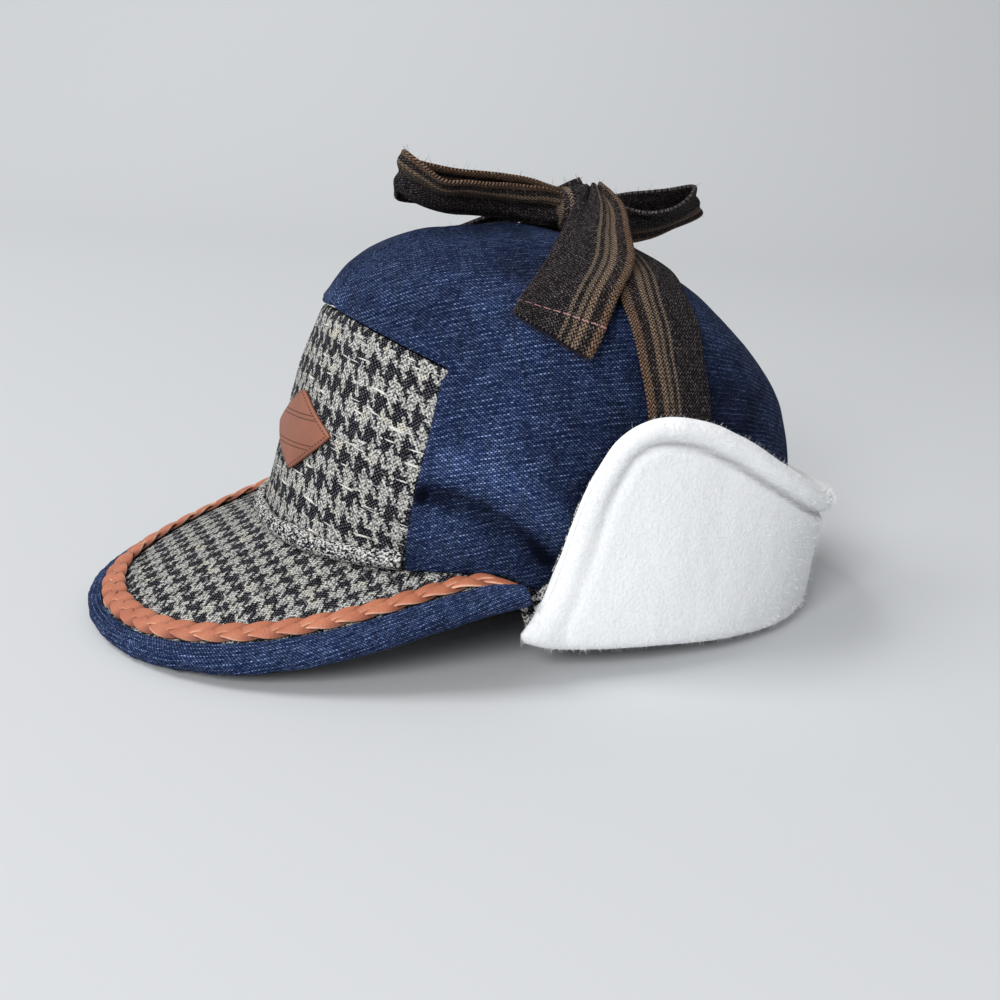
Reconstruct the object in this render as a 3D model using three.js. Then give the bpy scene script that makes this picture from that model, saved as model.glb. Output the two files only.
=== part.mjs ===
// Winter cap with a visor, a flap band turned up round the sides and back, and a bow on top.
// The cap faces -Y, its wearer's left is +X, and it rests on z = 0 on the visor's tip and the band's fold.
import * as THREE from 'three';
import { mergeVertices } from 'three/addons/utils/BufferGeometryUtils.js';

// Driving sizes in millimetres, and turns in degrees round the crown from the front to the wearer's left
const gap = 0.3;
const denimThick = 1.8;
const panelThick = 1.6;
const panelSunk = 0.8;
const weltThick = 1.4;
const seamGapTurn = 0.4;
const visorThick = 4;
const visorBulge = 2;
const bindingThick = 1.2;
const braidWide = 9.5;
const visorInset = 1.3;
const braidThick = 2;
const braidLift = 0.5;
const braidClear = 2.5;
const patchThick = 1.8;
const fleeceThick = 3.2;
const backingThick = 1;
const hangClear = 0.9;
const hangUp = 7;
const tapeThick = 1.8;
const edgeUp = 36.7;
const edgeSlope = 0.0415;
const roundness = 2.15;
const visorEndTurn = 66;
const visorDrop = 1.3;
const jointShare = 0.985;
const bandEndTurn = 73;
const backingTopPlace = 9.9;

// Crown sections from its edge to its top: reach and height at the side, in front and behind, and centre
const crownRows = [
  { side: 82.5, sideUp: 0, front: 106.5, frontUp: 0, back: 105.5, backUp: 0, centre: 0 },
  { side: 85, sideUp: 18, front: 102, frontUp: 17, back: 107, backUp: 16, centre: 0 },
  { side: 86, sideUp: 35, front: 97.5, frontUp: 34, back: 102, backUp: 32, centre: 0 },
  { side: 84.5, sideUp: 53, front: 92.5, frontUp: 52, back: 92.5, backUp: 49, centre: 0 },
  { side: 79, sideUp: 69, front: 86, frontUp: 69, back: 80, backUp: 65, centre: -1 },
  { side: 70, sideUp: 83, front: 79.5, frontUp: 84, back: 67, backUp: 78, centre: -2 },
  { side: 58, sideUp: 94, front: 70, frontUp: 96, back: 54, backUp: 89, centre: -4 },
  { side: 43, sideUp: 102, front: 55.5, frontUp: 104, back: 40, backUp: 97, centre: -6 },
  { side: 24, sideUp: 107.5, front: 39, frontUp: 108.5, back: 22, backUp: 104, centre: -8 },
  { side: 0, sideUp: 110, front: 0, frontUp: 110, back: 0, backUp: 110, centre: -10 },
];
const topRow = crownRows.length - 1;

// Folds and bulges in the crown's denim: place, spread in turn and rows, and height out of the surface
const crownFolds = [
  { turn: 56, row: 1.55, turnSpread: 5, rowSpread: 0.28, out: -1.2 },
  { turn: 65, row: 1.05, turnSpread: 5, rowSpread: 0.28, out: -2 },
  { turn: 73, row: 0.45, turnSpread: 5, rowSpread: 0.3, out: -2 },
  { turn: 62, row: 1.75, turnSpread: 8, rowSpread: 0.4, out: 1.2 },
  { turn: -66, row: 1, turnSpread: 8, rowSpread: 0.35, out: -1.4 },
  { turn: 0, row: 5.1, turnSpread: 14, rowSpread: 0.35, out: 1.2 },
];

// Side seam of the front panel: its turn at each crown row, up to the corner where the arched top begins
const panelSeam = [{ turn: 47.1 }, { turn: 45.2 }, { turn: 45 }, { turn: 45.7 }, { turn: 48.2 }];
const panelCornerRow = 4.06;
const panelCornerTurn = 48.3;
const panelTopRow = 4.87;
const panelArch = 1.9;
const weltRows = 0.42;

// Outer edge of the visor from its tip to its end at mid thickness, and the binding's width on it
const visorEdge = [
  { x: 0, y: -171, z: 2.8, binding: 4.5 },
  { x: 20, y: -168.5, z: 2.9, binding: 5 },
  { x: 39, y: -161.8, z: 3.4, binding: 6 },
  { x: 55.5, y: -150.5, z: 4.6, binding: 8 },
  { x: 69.2, y: -135.3, z: 6.8, binding: 10 },
  { x: 79, y: -117.2, z: 10.6, binding: 11 },
  { x: 86, y: -96.4, z: 16.4, binding: 11 },
  { x: 91, y: -72.5, z: 23.8, binding: 11 },
  { x: 94, y: -46, z: 31.3, binding: 10 },
];

// Binding section round the visor's edge: how far in or out in shares of its width, and its height
const bindingSection = [
  { share: -1, up: 0 },
  { share: -0.5, up: 0.1 },
  { share: -0.12, up: 0 },
  { share: 0, up: -1.1 },
  { share: 0, up: -visorThick + 1.1 },
  { share: -0.12, up: -visorThick },
  { share: -0.5, up: -visorThick - 0.1 },
  { share: -1, up: -visorThick },
];

// Flap band by turn: how far its fold and its top edge stand out from the crown's edge, and their heights
const bandRows = [
  { turn: 73, foldOut: 10.5, foldUp: 11.5, topOut: 9.4, topUp: 23 },
  { turn: 75, foldOut: 11, foldUp: 10.4, topOut: 8.6, topUp: 33 },
  { turn: 77.5, foldOut: 11, foldUp: 9.6, topOut: 7.8, topUp: 50 },
  { turn: 80.5, foldOut: 11, foldUp: 9, topOut: 8, topUp: 67 },
  { turn: 85, foldOut: 11, foldUp: 8.4, topOut: 8.4, topUp: 84 },
  { turn: 91, foldOut: 11, foldUp: 7.6, topOut: 8.4, topUp: 92 },
  { turn: 99, foldOut: 11, foldUp: 6.4, topOut: 8.6, topUp: 91 },
  { turn: 108, foldOut: 11, foldUp: 5, topOut: 9.8, topUp: 84.5 },
  { turn: 120, foldOut: 11, foldUp: 3, topOut: 12.5, topUp: 72 },
  { turn: 135, foldOut: 11.5, foldUp: 1, topOut: 15.5, topUp: 58 },
  { turn: 150, foldOut: 12.5, foldUp: 0, topOut: 17.5, topUp: 49 },
  { turn: 165, foldOut: 12.5, foldUp: 0, topOut: 18.5, topUp: 45 },
  { turn: 180, foldOut: 12.5, foldUp: 0, topOut: 18.5, topUp: 44 },
];

// Tie on the crown, from inside the flap band up to the knot: turn and crown row of its two edges
const tieRows = [
  { frontTurn: 91.9, frontRow: 2.5, backTurn: 107.5, backRow: 2.45, lift: 0.6 },
  { frontTurn: 91.9, frontRow: 3.2, backTurn: 107.8, backRow: 3.05, lift: 0.6 },
  { frontTurn: 92.2, frontRow: 4.4, backTurn: 112.7, backRow: 4.2, lift: 0.8 },
  { frontTurn: 93.2, frontRow: 5.5, backTurn: 126, backRow: 5.6, lift: 1.2 },
  { frontTurn: 98, frontRow: 6.4, backTurn: 146, backRow: 6.4, lift: 1.3 },
  { frontTurn: 112, frontRow: 7.3, backTurn: 162, backRow: 6.9, lift: 1.4 },
  { frontTurn: 138, frontRow: 8, backTurn: 167, backRow: 7.4, lift: 2.2 },
];

// Soft pieces of the bow: middle of the tape, the direction across it, its width and how far it cups
const frontLoopRows = [
  { x: 3, y: 2.9, z: 153.1, ax: 0.2, ay: 0, az: 0.98, wide: 13.2, cup: 1 },
  { x: 3, y: -6.5, z: 154.2, ax: 0.52, ay: -0.33, az: 0.79, wide: 18.5, cup: 1 },
  { x: 2.5, y: -19.2, z: 154.8, ax: 0.71, ay: -0.35, az: 0.61, wide: 23.9, cup: 1 },
  { x: 2.5, y: -31.3, z: 155.4, ax: 0.76, ay: -0.34, az: 0.56, wide: 25.1, cup: 1.5 },
  { x: 2.5, y: -42.1, z: 156.3, ax: 0.76, ay: -0.35, az: 0.55, wide: 25.1, cup: 1 },
  { x: 1.5, y: -52.5, z: 160.9, ax: 0.74, ay: -0.17, az: 0.66, wide: 23.1, cup: 0.5 },
  { x: -4.5, y: -56.9, z: 164.8, ax: 0.66, ay: -0.18, az: 0.73, wide: 22.8, cup: 0 },
  { x: -14.3, y: -50.9, z: 160.1, ax: 0.7, ay: 0, az: 0.72, wide: 28, cup: 0 },
  { x: -15.5, y: -38.9, z: 157.4, ax: 0.72, ay: 0, az: 0.7, wide: 30, cup: 0.5 },
  { x: -14.7, y: -24.8, z: 156.7, ax: 0.72, ay: 0, az: 0.7, wide: 28, cup: 1 },
  { x: -11.7, y: -8.7, z: 156.6, ax: 0.7, ay: 0, az: 0.72, wide: 22, cup: 1 },
  { x: -5.8, y: 4, z: 156, ax: 0.55, ay: 0, az: 0.84, wide: 13, cup: 1 },
];
const backLoopRows = [
  { x: 2.5, y: 29.4, z: 147.6, ax: 0.2, ay: -0.24, az: 0.95, wide: 14.9, cup: 0 },
  { x: 1, y: 41.9, z: 146.5, ax: 0.67, ay: -0.42, az: 0.62, wide: 21, cup: 0 },
  { x: 1, y: 52.1, z: 147.9, ax: 0.78, ay: -0.45, az: 0.43, wide: 25.5, cup: 0 },
  { x: 0, y: 61.1, z: 150.7, ax: 0.76, ay: -0.54, az: 0.35, wide: 28.8, cup: 0 },
  { x: -3.5, y: 69.4, z: 154.8, ax: 0.69, ay: -0.6, az: 0.4, wide: 27.5, cup: 0 },
  { x: -14, y: 71, z: 154.2, ax: 0.79, ay: -0.3, az: 0.54, wide: 27, cup: 0 },
  { x: -15.7, y: 59.1, z: 150.4, ax: 0.72, ay: 0, az: 0.7, wide: 27, cup: 0 },
  { x: -14.9, y: 45.2, z: 150.1, ax: 0.72, ay: 0, az: 0.7, wide: 23, cup: 0 },
  { x: -8.5, y: 32.3, z: 150.9, ax: 0.55, ay: 0, az: 0.84, wide: 13, cup: 0 },
];
const tailRows = [
  { x: 6.5, y: 17.8, z: 161, ax: 0.55, ay: 0.79, az: 0.27, wide: 5.5, cup: 0 },
  { x: 13.5, y: 15.3, z: 157.1, ax: 0.37, ay: 0.91, az: 0.19, wide: 13.7, cup: 1 },
  { x: 23, y: 11.5, z: 152.5, ax: 0.38, ay: 0.91, az: 0.15, wide: 21.2, cup: 1.5 },
  { x: 36, y: 4.1, z: 146.1, ax: 0.3, ay: 0.95, az: 0.12, wide: 26.8, cup: 1.5 },
  { x: 51, y: -5.3, z: 138.2, ax: 0.17, ay: 0.98, az: 0.08, wide: 34.5, cup: 1 },
  { x: 64, y: -17.8, z: 129.7, ax: 0.3, ay: 0.95, az: -0.06, wide: 32.8, cup: 1 },
  { x: 73, y: -29, z: 117.3, ax: 0.45, ay: 0.77, az: -0.46, wide: 31.2, cup: 0.5 },
];
const knot = { x: 0, y: 16.5, z: 152, long: 10.8, wide: 7.5, high: 8.6 };

// Patch: its middle, and the steps in turn and row from there to its right and its top corner
const patch = { turn: 1.2, row: 2.25, rightTurn: 16.9, rightRow: 0.17, topTurn: -2.1, topRow: 0.83 };

// Smooth value of a table's column at a place counted in rows, through every row's own value
function along(table, column, place) {
  const last = table.length - 1;
  const at = THREE.MathUtils.clamp(place, 0, last);
  const i = Math.min(Math.floor(at), last - 1);
  const t = at - i;
  const here = table[i][column];
  const next = table[i + 1][column];
  const before = i > 0 ? table[i - 1][column] : 2 * here - next;
  const after = i + 2 <= last ? table[i + 2][column] : 2 * next - here;
  const bend = 2 * before - 5 * here + 4 * next - after;
  const twist = 3 * here - before - 3 * next + after;
  return 0.5 * (2 * here + (next - before) * t + bend * t * t + twist * t * t * t);
}

// Place, counted in rows, where a table's rising column reaches a value
function placeOf(table, column, value) {
  const last = table.length - 1;
  const i = THREE.MathUtils.clamp(table.findIndex((row) => row[column] > value) - 1, 0, last - 1);
  const start = value >= table[last][column] ? last - 1 : i;
  return start + (value - table[start][column]) / (table[start + 1][column] - table[start][column]);
}

// Closed solid between two grids of points, where point(u, v, side) gives the lower and the upper one
function slab(columns, rows, point) {
  const positions = [];
  const faces = [];
  const index = (i, j, side) => (side * (columns + 1) + i) * (rows + 1) + j;
  for (const side of [0, 1]) {
    for (let i = 0; i <= columns; i++) {
      for (let j = 0; j <= rows; j++) {
        positions.push(...point(i / columns, j / rows, side).toArray());
      }
    }
  }
  const quad = (a, b, c, d) => faces.push(a, b, c, a, c, d);
  for (let i = 0; i < columns; i++) {
    for (let j = 0; j < rows; j++) {
      quad(index(i, j, 1), index(i + 1, j, 1), index(i + 1, j + 1, 1), index(i, j + 1, 1));
      quad(index(i, j, 0), index(i, j + 1, 0), index(i + 1, j + 1, 0), index(i + 1, j, 0));
    }
    quad(index(i, 0, 0), index(i + 1, 0, 0), index(i + 1, 0, 1), index(i, 0, 1));
    quad(index(i, rows, 1), index(i + 1, rows, 1), index(i + 1, rows, 0), index(i, rows, 0));
  }
  for (let j = 0; j < rows; j++) {
    quad(index(0, j, 1), index(0, j + 1, 1), index(0, j + 1, 0), index(0, j, 0));
    quad(index(columns, j, 0), index(columns, j + 1, 0), index(columns, j + 1, 1), index(columns, j, 1));
  }
  return solid(positions, faces);
}

// Geometry from points and faces, with meeting points joined, empty faces dropped and faces turned outward
function solid(positions, faces) {
  const loose = new THREE.BufferGeometry();
  loose.setAttribute('position', new THREE.Float32BufferAttribute(positions, 3));
  loose.setIndex(faces);
  const geometry = mergeVertices(loose, 1e-3);
  const joined = geometry.getIndex().array;
  const kept = [];
  for (let i = 0; i < joined.length; i += 3) {
    const [a, b, c] = joined.slice(i, i + 3);
    if (a !== b && b !== c && a !== c) kept.push(a, b, c);
  }
  if (volumeOf(geometry, kept) < 0) kept.reverse();
  geometry.setIndex(kept);
  geometry.computeVertexNormals();
  return geometry;
}

function volumeOf(geometry, faces) {
  const place = geometry.getAttribute('position');
  const corner = (i) => new THREE.Vector3().fromBufferAttribute(place, faces[i]);
  let six = 0;
  for (let i = 0; i < faces.length; i += 3) {
    six += corner(i).dot(corner(i + 1).cross(corner(i + 2)));
  }
  return six / 6;
}

// Signed power, for sections a little fuller than an ellipse
function fuller(value) {
  return Math.sign(value) * Math.abs(value) ** (2 / roundness);
}

// Point of the crown's smooth outer surface at a turn and a row
function crownPlain(turn, row) {
  const angle = THREE.MathUtils.degToRad(turn);
  const isFront = Math.cos(angle) > 0;
  const reach = row >= topRow ? 0 : along(crownRows, isFront ? 'front' : 'back', row);
  const side = row >= topRow ? 0 : along(crownRows, 'side', row);
  const x = side * fuller(Math.sin(angle));
  const y = along(crownRows, 'centre', row) - reach * fuller(Math.cos(angle));
  const sideUp = along(crownRows, 'sideUp', row);
  const endUp = along(crownRows, isFront ? 'frontUp' : 'backUp', row);
  const z = sideUp + (endUp - sideUp) * Math.cos(angle) ** 2;
  return new THREE.Vector3(x, y, z + edgeUp + edgeSlope * y);
}

// Direction straight out of the crown's surface
function crownOut(turn, row) {
  if (row > topRow - 0.05) return new THREE.Vector3(0, 0, 1);
  const round = crownPlain(turn + 1, row).sub(crownPlain(turn - 1, row));
  const rise = crownPlain(turn, row + 0.04).sub(crownPlain(turn, Math.max(row - 0.04, 0)));
  return round.cross(rise).normalize();
}

function foldHeight(turn, row) {
  let out = 0;
  for (const fold of crownFolds) {
    const a = (turn - fold.turn) / fold.turnSpread;
    const b = (row - fold.row) / fold.rowSpread;
    out += fold.out * Math.exp(-a * a - b * b);
  }
  return out;
}

function crownPoint(turn, row, lift) {
  const out = crownOut(turn, row).multiplyScalar(lift + foldHeight(turn, row));
  return crownPlain(turn, row).add(out);
}

// Turn of the front panel's seam at a row, which closes along the arched top to 0
function panelEdgeTurn(row) {
  if (row <= panelCornerRow) return along(panelSeam, 'turn', row * (panelSeam.length - 1) / panelCornerRow);
  if (row >= panelTopRow) return 0;
  return panelCornerTurn * ((panelTopRow - row) / (panelTopRow - panelCornerRow)) ** (1 / panelArch);
}

function panelTop(turn) {
  const part = Math.abs(turn) / panelCornerTurn;
  return panelTopRow - (panelTopRow - panelCornerRow) * part ** panelArch;
}

// Crown halves: each row of denim runs from the panel's seam or arch, or the front centre, to the back
const crownSteps = [0, 0.5, 1, 1.5, 2, 2.7, 3.4, 4.06, 4.3, 4.52, 4.7, 4.82, 4.87, 5.3, 6, 6.7, 7.4, 8, 8.5, 9];

function crownHalf(sign) {
  const rows = crownSteps.length - 1;
  return slab(18, rows, (u, v, side) => {
    const row = crownSteps[Math.round(v * rows)];
    const start = panelEdgeTurn(row);
    const turn = start + (180 - start) * u;
    const point = crownPoint(sign * turn, row, side ? 0 : -denimThick);
    point.x += sign * gap / 2;
    return point;
  });
}

// Front panel, its foot strip and the patch on it
function frontPanel() {
  const topGapRow = 0.03;
  return slab(16, 8, (u, v, side) => {
    const share = 2 * u - 1;
    const corner = share * (panelCornerTurn - seamGapTurn);
    const row = v * (panelTop(corner) - topGapRow);
    const seam = panelEdgeTurn(Math.min(row, panelCornerRow)) - seamGapTurn;
    return crownPoint(share * seam, row, side ? -panelSunk : -panelSunk - panelThick);
  });
}

function frontWelt() {
  const lift = gap - panelSunk;
  return slab(22, 1, (u, v, side) => {
    const row = v * weltRows;
    const turn = (2 * u - 1) * (panelEdgeTurn(row) - seamGapTurn);
    return crownPoint(turn, row, side ? lift + weltThick : lift);
  });
}

function patchSolid() {
  const lift = gap - panelSunk + 0.15;
  return slab(6, 6, (u, v, side) => {
    const right = u + v - 1;
    const top = u - v;
    const turn = patch.turn + right * patch.rightTurn + top * patch.topTurn;
    const row = patch.row + right * patch.rightRow + top * patch.topRow;
    return crownPoint(turn, row, side ? lift + patchThick : lift);
  });
}

// Visor surface: share runs from -1 to 1 round it, part from 0 at the crown to 1 at the outer edge
function visorPlain(share, part) {
  const place = Math.abs(share) * (visorEdge.length - 1);
  const edge = new THREE.Vector3(
    Math.sign(share) * along(visorEdge, 'x', place),
    along(visorEdge, 'y', place),
    along(visorEdge, 'z', place) + visorThick / 2,
  );
  const joint = crownPlain(share * visorEndTurn, 0);
  joint.x *= jointShare;
  joint.y *= jointShare;
  joint.z -= visorDrop;
  const point = joint.clone().lerp(edge, part);
  point.z += visorBulge * Math.sin(Math.PI * part);
  return point;
}

function visorUp(share, part) {
  const round = visorPlain(Math.min(share + 0.01, 1), part).sub(visorPlain(Math.max(share - 0.01, -1), part));
  const out = visorPlain(share, part + 0.01).sub(visorPlain(share, part - 0.01));
  return out.cross(round).normalize();
}

function visorPoint(share, fromEdge, lift) {
  const part = 1 + fromEdge / visorAcross(share);
  return visorPlain(share, part).addScaledVector(visorUp(share, Math.min(part, 1)), lift);
}

function visorAcross(share) {
  return visorPlain(share, 1).distanceTo(visorPlain(share, 0));
}

function bindingWide(share) {
  return along(visorEdge, 'binding', Math.abs(share) * (visorEdge.length - 1));
}

function visor() {
  return slab(32, 5, (u, v, side) => {
    const share = 2 * u - 1;
    const part = v * (1 - visorInset / visorAcross(share));
    return visorPlain(share, part).addScaledVector(visorUp(share, part), side ? 0 : -visorThick);
  });
}

function visorBinding() {
  const last = bindingSection.length - 1;
  return slab(32, last, (u, v, side) => {
    const i = Math.round(v * last);
    const wide = bindingWide(2 * u - 1);
    const before = bindingSection[Math.max(i - 1, 0)];
    const after = bindingSection[Math.min(i + 1, last)];
    const run = new THREE.Vector2(wide * (after.share - before.share), after.up - before.up).normalize();
    const off = gap + (side ? bindingThick : 0);
    const { share, up } = bindingSection[i];
    return visorPoint(2 * u - 1, share * wide - run.y * off, up + run.x * off);
  });
}

function visorBraid() {
  return slab(32, 2, (u, v, side) => {
    const share = 2 * u - 1;
    const start = bindingWide(share) + gap;
    const wide = Math.min(braidWide, visorAcross(share) - start - braidClear);
    return visorPoint(share, -start - wide * v, side ? braidLift + braidThick : braidLift);
  });
}

// Flap band: a section that hangs inside the crown's edge, folds at the bottom and stands up outside it
function edgeOut(turn) {
  const out = crownPlain(turn + 1, 0).sub(crownPlain(turn - 1, 0)).cross(new THREE.Vector3(0, 0, 1));
  out.z = 0;
  return out.normalize();
}

function bandSection(turn) {
  const place = placeOf(bandRows, 'turn', turn > 180 ? 360 - turn : turn);
  const [foldOut, foldUp] = ['foldOut', 'foldUp'].map((column) => along(bandRows, column, place));
  const [topOut, topUp] = ['topOut', 'topUp'].map((column) => along(bandRows, column, place));
  const edge = crownPlain(turn, 0).z;
  const low = Math.max(foldUp, 0) + fleeceThick / 2;
  const inside = -denimThick - fleeceThick / 2 - hangClear;
  const span = topUp - low;
  return [
    { out: inside, up: edge + hangUp },
    { out: inside, up: edge - 1 },
    { out: inside + 0.4, up: low + 5 },
    { out: inside + 2.4, up: low + 1.2 },
    { out: inside + 6, up: low },
    { out: foldOut - 4.5, up: low },
    { out: foldOut - 1.2, up: low + 1.4 },
    { out: foldOut, up: low + Math.min(5, 0.25 * span) },
    { out: foldOut + 0.35 * (topOut - foldOut), up: low + 0.48 * span },
    { out: foldOut + 0.7 * (topOut - foldOut), up: low + 0.74 * span },
    { out: topOut, up: topUp },
  ];
}

function bandPoint(turn, place, lift) {
  const section = bandSection(turn);
  const at = (p) => new THREE.Vector2(along(section, 'out', p), along(section, 'up', p));
  const last = section.length - 1;
  const run = at(Math.min(place + 0.05, last)).sub(at(Math.max(place - 0.05, 0))).normalize();
  const spot = at(place).add(new THREE.Vector2(run.y, -run.x).multiplyScalar(lift));
  const edge = crownPlain(turn, 0);
  return edge.addScaledVector(edgeOut(turn), spot.x).setZ(Math.max(spot.y, 0));
}

// Columns stand closer together near the band's two front ends
function bandTurn(u) {
  const closer = u - 0.09 * Math.sin(2 * Math.PI * u);
  return bandEndTurn + (360 - 2 * bandEndTurn) * closer;
}

const bandPlaces = [0, 1.2, 2, 2.6, 3.3, 4, 5, 5.6, 6.2, 7, 8, 9, 10];

function flapFleece() {
  const rows = bandPlaces.length - 1;
  return slab(44, rows, (u, v, side) => {
    return bandPoint(bandTurn(u), bandPlaces[Math.round(v * rows)], (side ? 0.5 : -0.5) * fleeceThick);
  });
}

function flapBacking() {
  const places = bandPlaces.slice(1);
  const rows = places.length - 1;
  const near = -fleeceThick / 2 - gap;
  return slab(44, rows, (u, v, side) => {
    const place = Math.min(places[Math.round(v * rows)], backingTopPlace);
    return bandPoint(bandTurn(u), place, side ? near : near - backingThick);
  });
}

// Ties on the crown
function tie(sign) {
  return slab(4, 14, (u, v, side) => {
    const place = v * (tieRows.length - 1);
    const [frontTurn, backTurn] = ['frontTurn', 'backTurn'].map((column) => along(tieRows, column, place));
    const [frontRow, backRow] = ['frontRow', 'backRow'].map((column) => along(tieRows, column, place));
    const lift = along(tieRows, 'lift', place) + (side ? tapeThick : 0);
    const turn = frontTurn + (backTurn - frontTurn) * u;
    return crownPoint(sign * turn, frontRow + (backRow - frontRow) * u, lift);
  });
}

// Length of tape through a table of rows, mirrored to the wearer's right with a sign of -1
function tape(rows, steps, sign = 1) {
  const last = rows.length - 1;
  const vector = (place, names) => new THREE.Vector3(...names.map((name) => along(rows, name, place)));
  return slab(steps, 3, (u, v, side) => {
    const place = u * last;
    const middle = vector(place, ['x', 'y', 'z']);
    const ahead = vector(Math.min(place + 0.05, last), ['x', 'y', 'z']);
    const behind = vector(Math.max(place - 0.05, 0), ['x', 'y', 'z']);
    const across = vector(place, ['ax', 'ay', 'az']).normalize();
    const out = ahead.sub(behind).cross(across).normalize();
    const half = v - 0.5;
    middle.addScaledVector(across, half * along(rows, 'wide', place));
    middle.addScaledVector(out, along(rows, 'cup', place) * (1 - 4 * half * half));
    middle.addScaledVector(out, (side - 0.5) * tapeThick);
    middle.x *= sign;
    return middle;
  });
}

// Knot: a squarish lump where the two ties cross
function bowKnot() {
  const round = new THREE.SphereGeometry(1, 14, 9);
  round.deleteAttribute('normal');
  round.deleteAttribute('uv');
  round.scale(knot.wide, knot.long, knot.high);
  round.translate(knot.x, knot.y, knot.z);
  return solid(round.getAttribute('position').array, Array.from(round.getIndex().array));
}

function cloth(color, roughness) {
  return new THREE.MeshStandardMaterial({ color, roughness, metalness: 0 });
}

const houndstooth = cloth(0x6f6d68, 0.95);
const denim = cloth(0x1f3157, 0.9);
const leather = cloth(0xa8623f, 0.6);
const fleece = cloth(0xeceded, 1);
const wool = cloth(0x2b2624, 0.95);

const pieces = [
  ['front_panel', frontPanel(), houndstooth],
  ['crown_left', crownHalf(1), denim],
  ['crown_right', crownHalf(-1), denim],
  ['front_welt', frontWelt(), houndstooth],
  ['visor', visor(), houndstooth],
  ['visor_binding', visorBinding(), denim],
  ['visor_braid', visorBraid(), leather],
  ['patch', patchSolid(), leather],
  ['flap_fleece', flapFleece(), fleece],
  ['flap_backing', flapBacking(), houndstooth],
  ['tie_left', tie(1), wool],
  ['tie_right', tie(-1), wool],
  ['bow_knot', bowKnot(), wool],
  ['bow_loop_front', tape(frontLoopRows, 22), wool],
  ['bow_loop_back', tape(backLoopRows, 18), wool],
  ['tail_left', tape(tailRows, 12), wool],
  ['tail_right', tape(tailRows, 12, -1), wool],
];

const cap = new THREE.Group();
for (const [name, geometry, material] of pieces) {
  const mesh = new THREE.Mesh(geometry, material);
  mesh.name = name;
  cap.add(mesh);
}

// The origin is on the floor, under the middle of the cap's outline
const outline = new THREE.Box3().setFromObject(cap);
const middle = outline.getCenter(new THREE.Vector3());
cap.position.set(-middle.x, -middle.y, -outline.min.z);

export default cap;
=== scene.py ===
import math
import random
import bmesh
import bpy
from mathutils import Matrix, Vector, kdtree, noise


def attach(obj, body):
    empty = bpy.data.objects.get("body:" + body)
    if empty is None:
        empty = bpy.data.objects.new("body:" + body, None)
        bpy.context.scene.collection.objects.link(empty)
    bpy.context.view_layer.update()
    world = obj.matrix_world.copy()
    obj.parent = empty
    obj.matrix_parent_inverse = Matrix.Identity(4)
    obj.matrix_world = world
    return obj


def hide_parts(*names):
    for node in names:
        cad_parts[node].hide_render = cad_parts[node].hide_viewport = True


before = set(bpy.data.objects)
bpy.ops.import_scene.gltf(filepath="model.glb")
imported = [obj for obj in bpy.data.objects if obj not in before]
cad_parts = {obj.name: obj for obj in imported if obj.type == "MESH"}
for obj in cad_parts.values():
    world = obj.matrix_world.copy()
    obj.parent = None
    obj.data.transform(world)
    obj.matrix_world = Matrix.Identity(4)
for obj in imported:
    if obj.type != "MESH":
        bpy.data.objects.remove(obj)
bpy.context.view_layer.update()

# Camera: it stands off the wearer's left front, a little above the visor.
# Its lens is long, and it is rolled by a few degrees.
camera_right = Vector((0.3984, 0.9156, 0.0537))
camera_up = Vector((-0.2829, 0.067, 0.9568))
camera_ahead = Vector((-0.8725, 0.3964, -0.2857))
camera_place = Vector((0.52328, -0.22571, 0.20843))
camera = bpy.data.objects.new("camera", bpy.data.cameras.new("camera"))
bpy.context.collection.objects.link(camera)
camera.data.sensor_width = 36
camera.data.lens = 54.02
turned = Matrix((camera_right, camera_up, -camera_ahead)).transposed().to_4x4()
camera.matrix_world = Matrix.Translation(camera_place) @ turned
bpy.context.scene.camera = camera

# Light: one large soft lamp above the visor, one over the camera, a weak one on the backdrop, and pale air.
# Each row is a lamp's name, its place, what it points at, its size in metres and its power in watts.
lamps = [
    ("key", (-0.4, -1.5, 2.3), (0, 0, 0.08), 1.3, 40),
    ("fill", (1.7, -1.7, 1.3), (0, 0, 0.08), 0.9, 54),
    ("backdrop", (-1.2, 0.2, 1.7), (-2.6, 0.9, 0.3), 1.2, 7),
]
air_strength = 0.42
for name, place, target, wide, power in lamps:
    lamp = bpy.data.objects.new(name, bpy.data.lights.new(name, "AREA"))
    bpy.context.collection.objects.link(lamp)
    lamp.data.size = wide
    lamp.data.energy = power
    lamp.location = place
    lamp.rotation_euler = (Vector(target) - lamp.location).to_track_quat("-Z", "Y").to_euler()
    lamp.visible_camera = False
air = bpy.data.worlds.new("air")
air.use_nodes = True
air.node_tree.nodes["Background"].inputs["Color"].default_value = (0.93, 0.94, 0.95, 1)
air.node_tree.nodes["Background"].inputs["Strength"].default_value = air_strength
bpy.context.scene.world = air
bpy.context.scene.view_settings.view_transform = "Standard"


# Crown: two halves of indigo denim, sewn together from front to back, hollow for the head.
# Their edges round the front panel are turned under, so they stand up from it in a soft roll.
denim_thick = 0.0018
# reach and height at the side, in front and behind, and the centre, from the edge to the top, in mm
crown_rows = [
    (82.5, 0, 106.5, 0, 105.5, 0, 0),
    (85, 18, 102, 17, 107, 16, 0),
    (86, 35, 97.5, 34, 102, 32, 0),
    (84.5, 53, 92.5, 52, 92.5, 49, 0),
    (79, 69, 86, 69, 80, 65, -1),
    (70, 83, 79.5, 84, 67, 78, -2),
    (58, 94, 70, 96, 54, 89, -4),
    (43, 102, 55.5, 104, 40, 97, -6),
    (24, 107.5, 39, 108.5, 22, 104, -8),
    (0, 110, 0, 110, 0, 110, -10),
]
crown_last = len(crown_rows) - 1
crown_edge_up = 36.7
crown_edge_slope = 0.0415
crown_fullness = 2 / 2.15
crown_centre = Vector((0, 23.214, 0.054))
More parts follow.
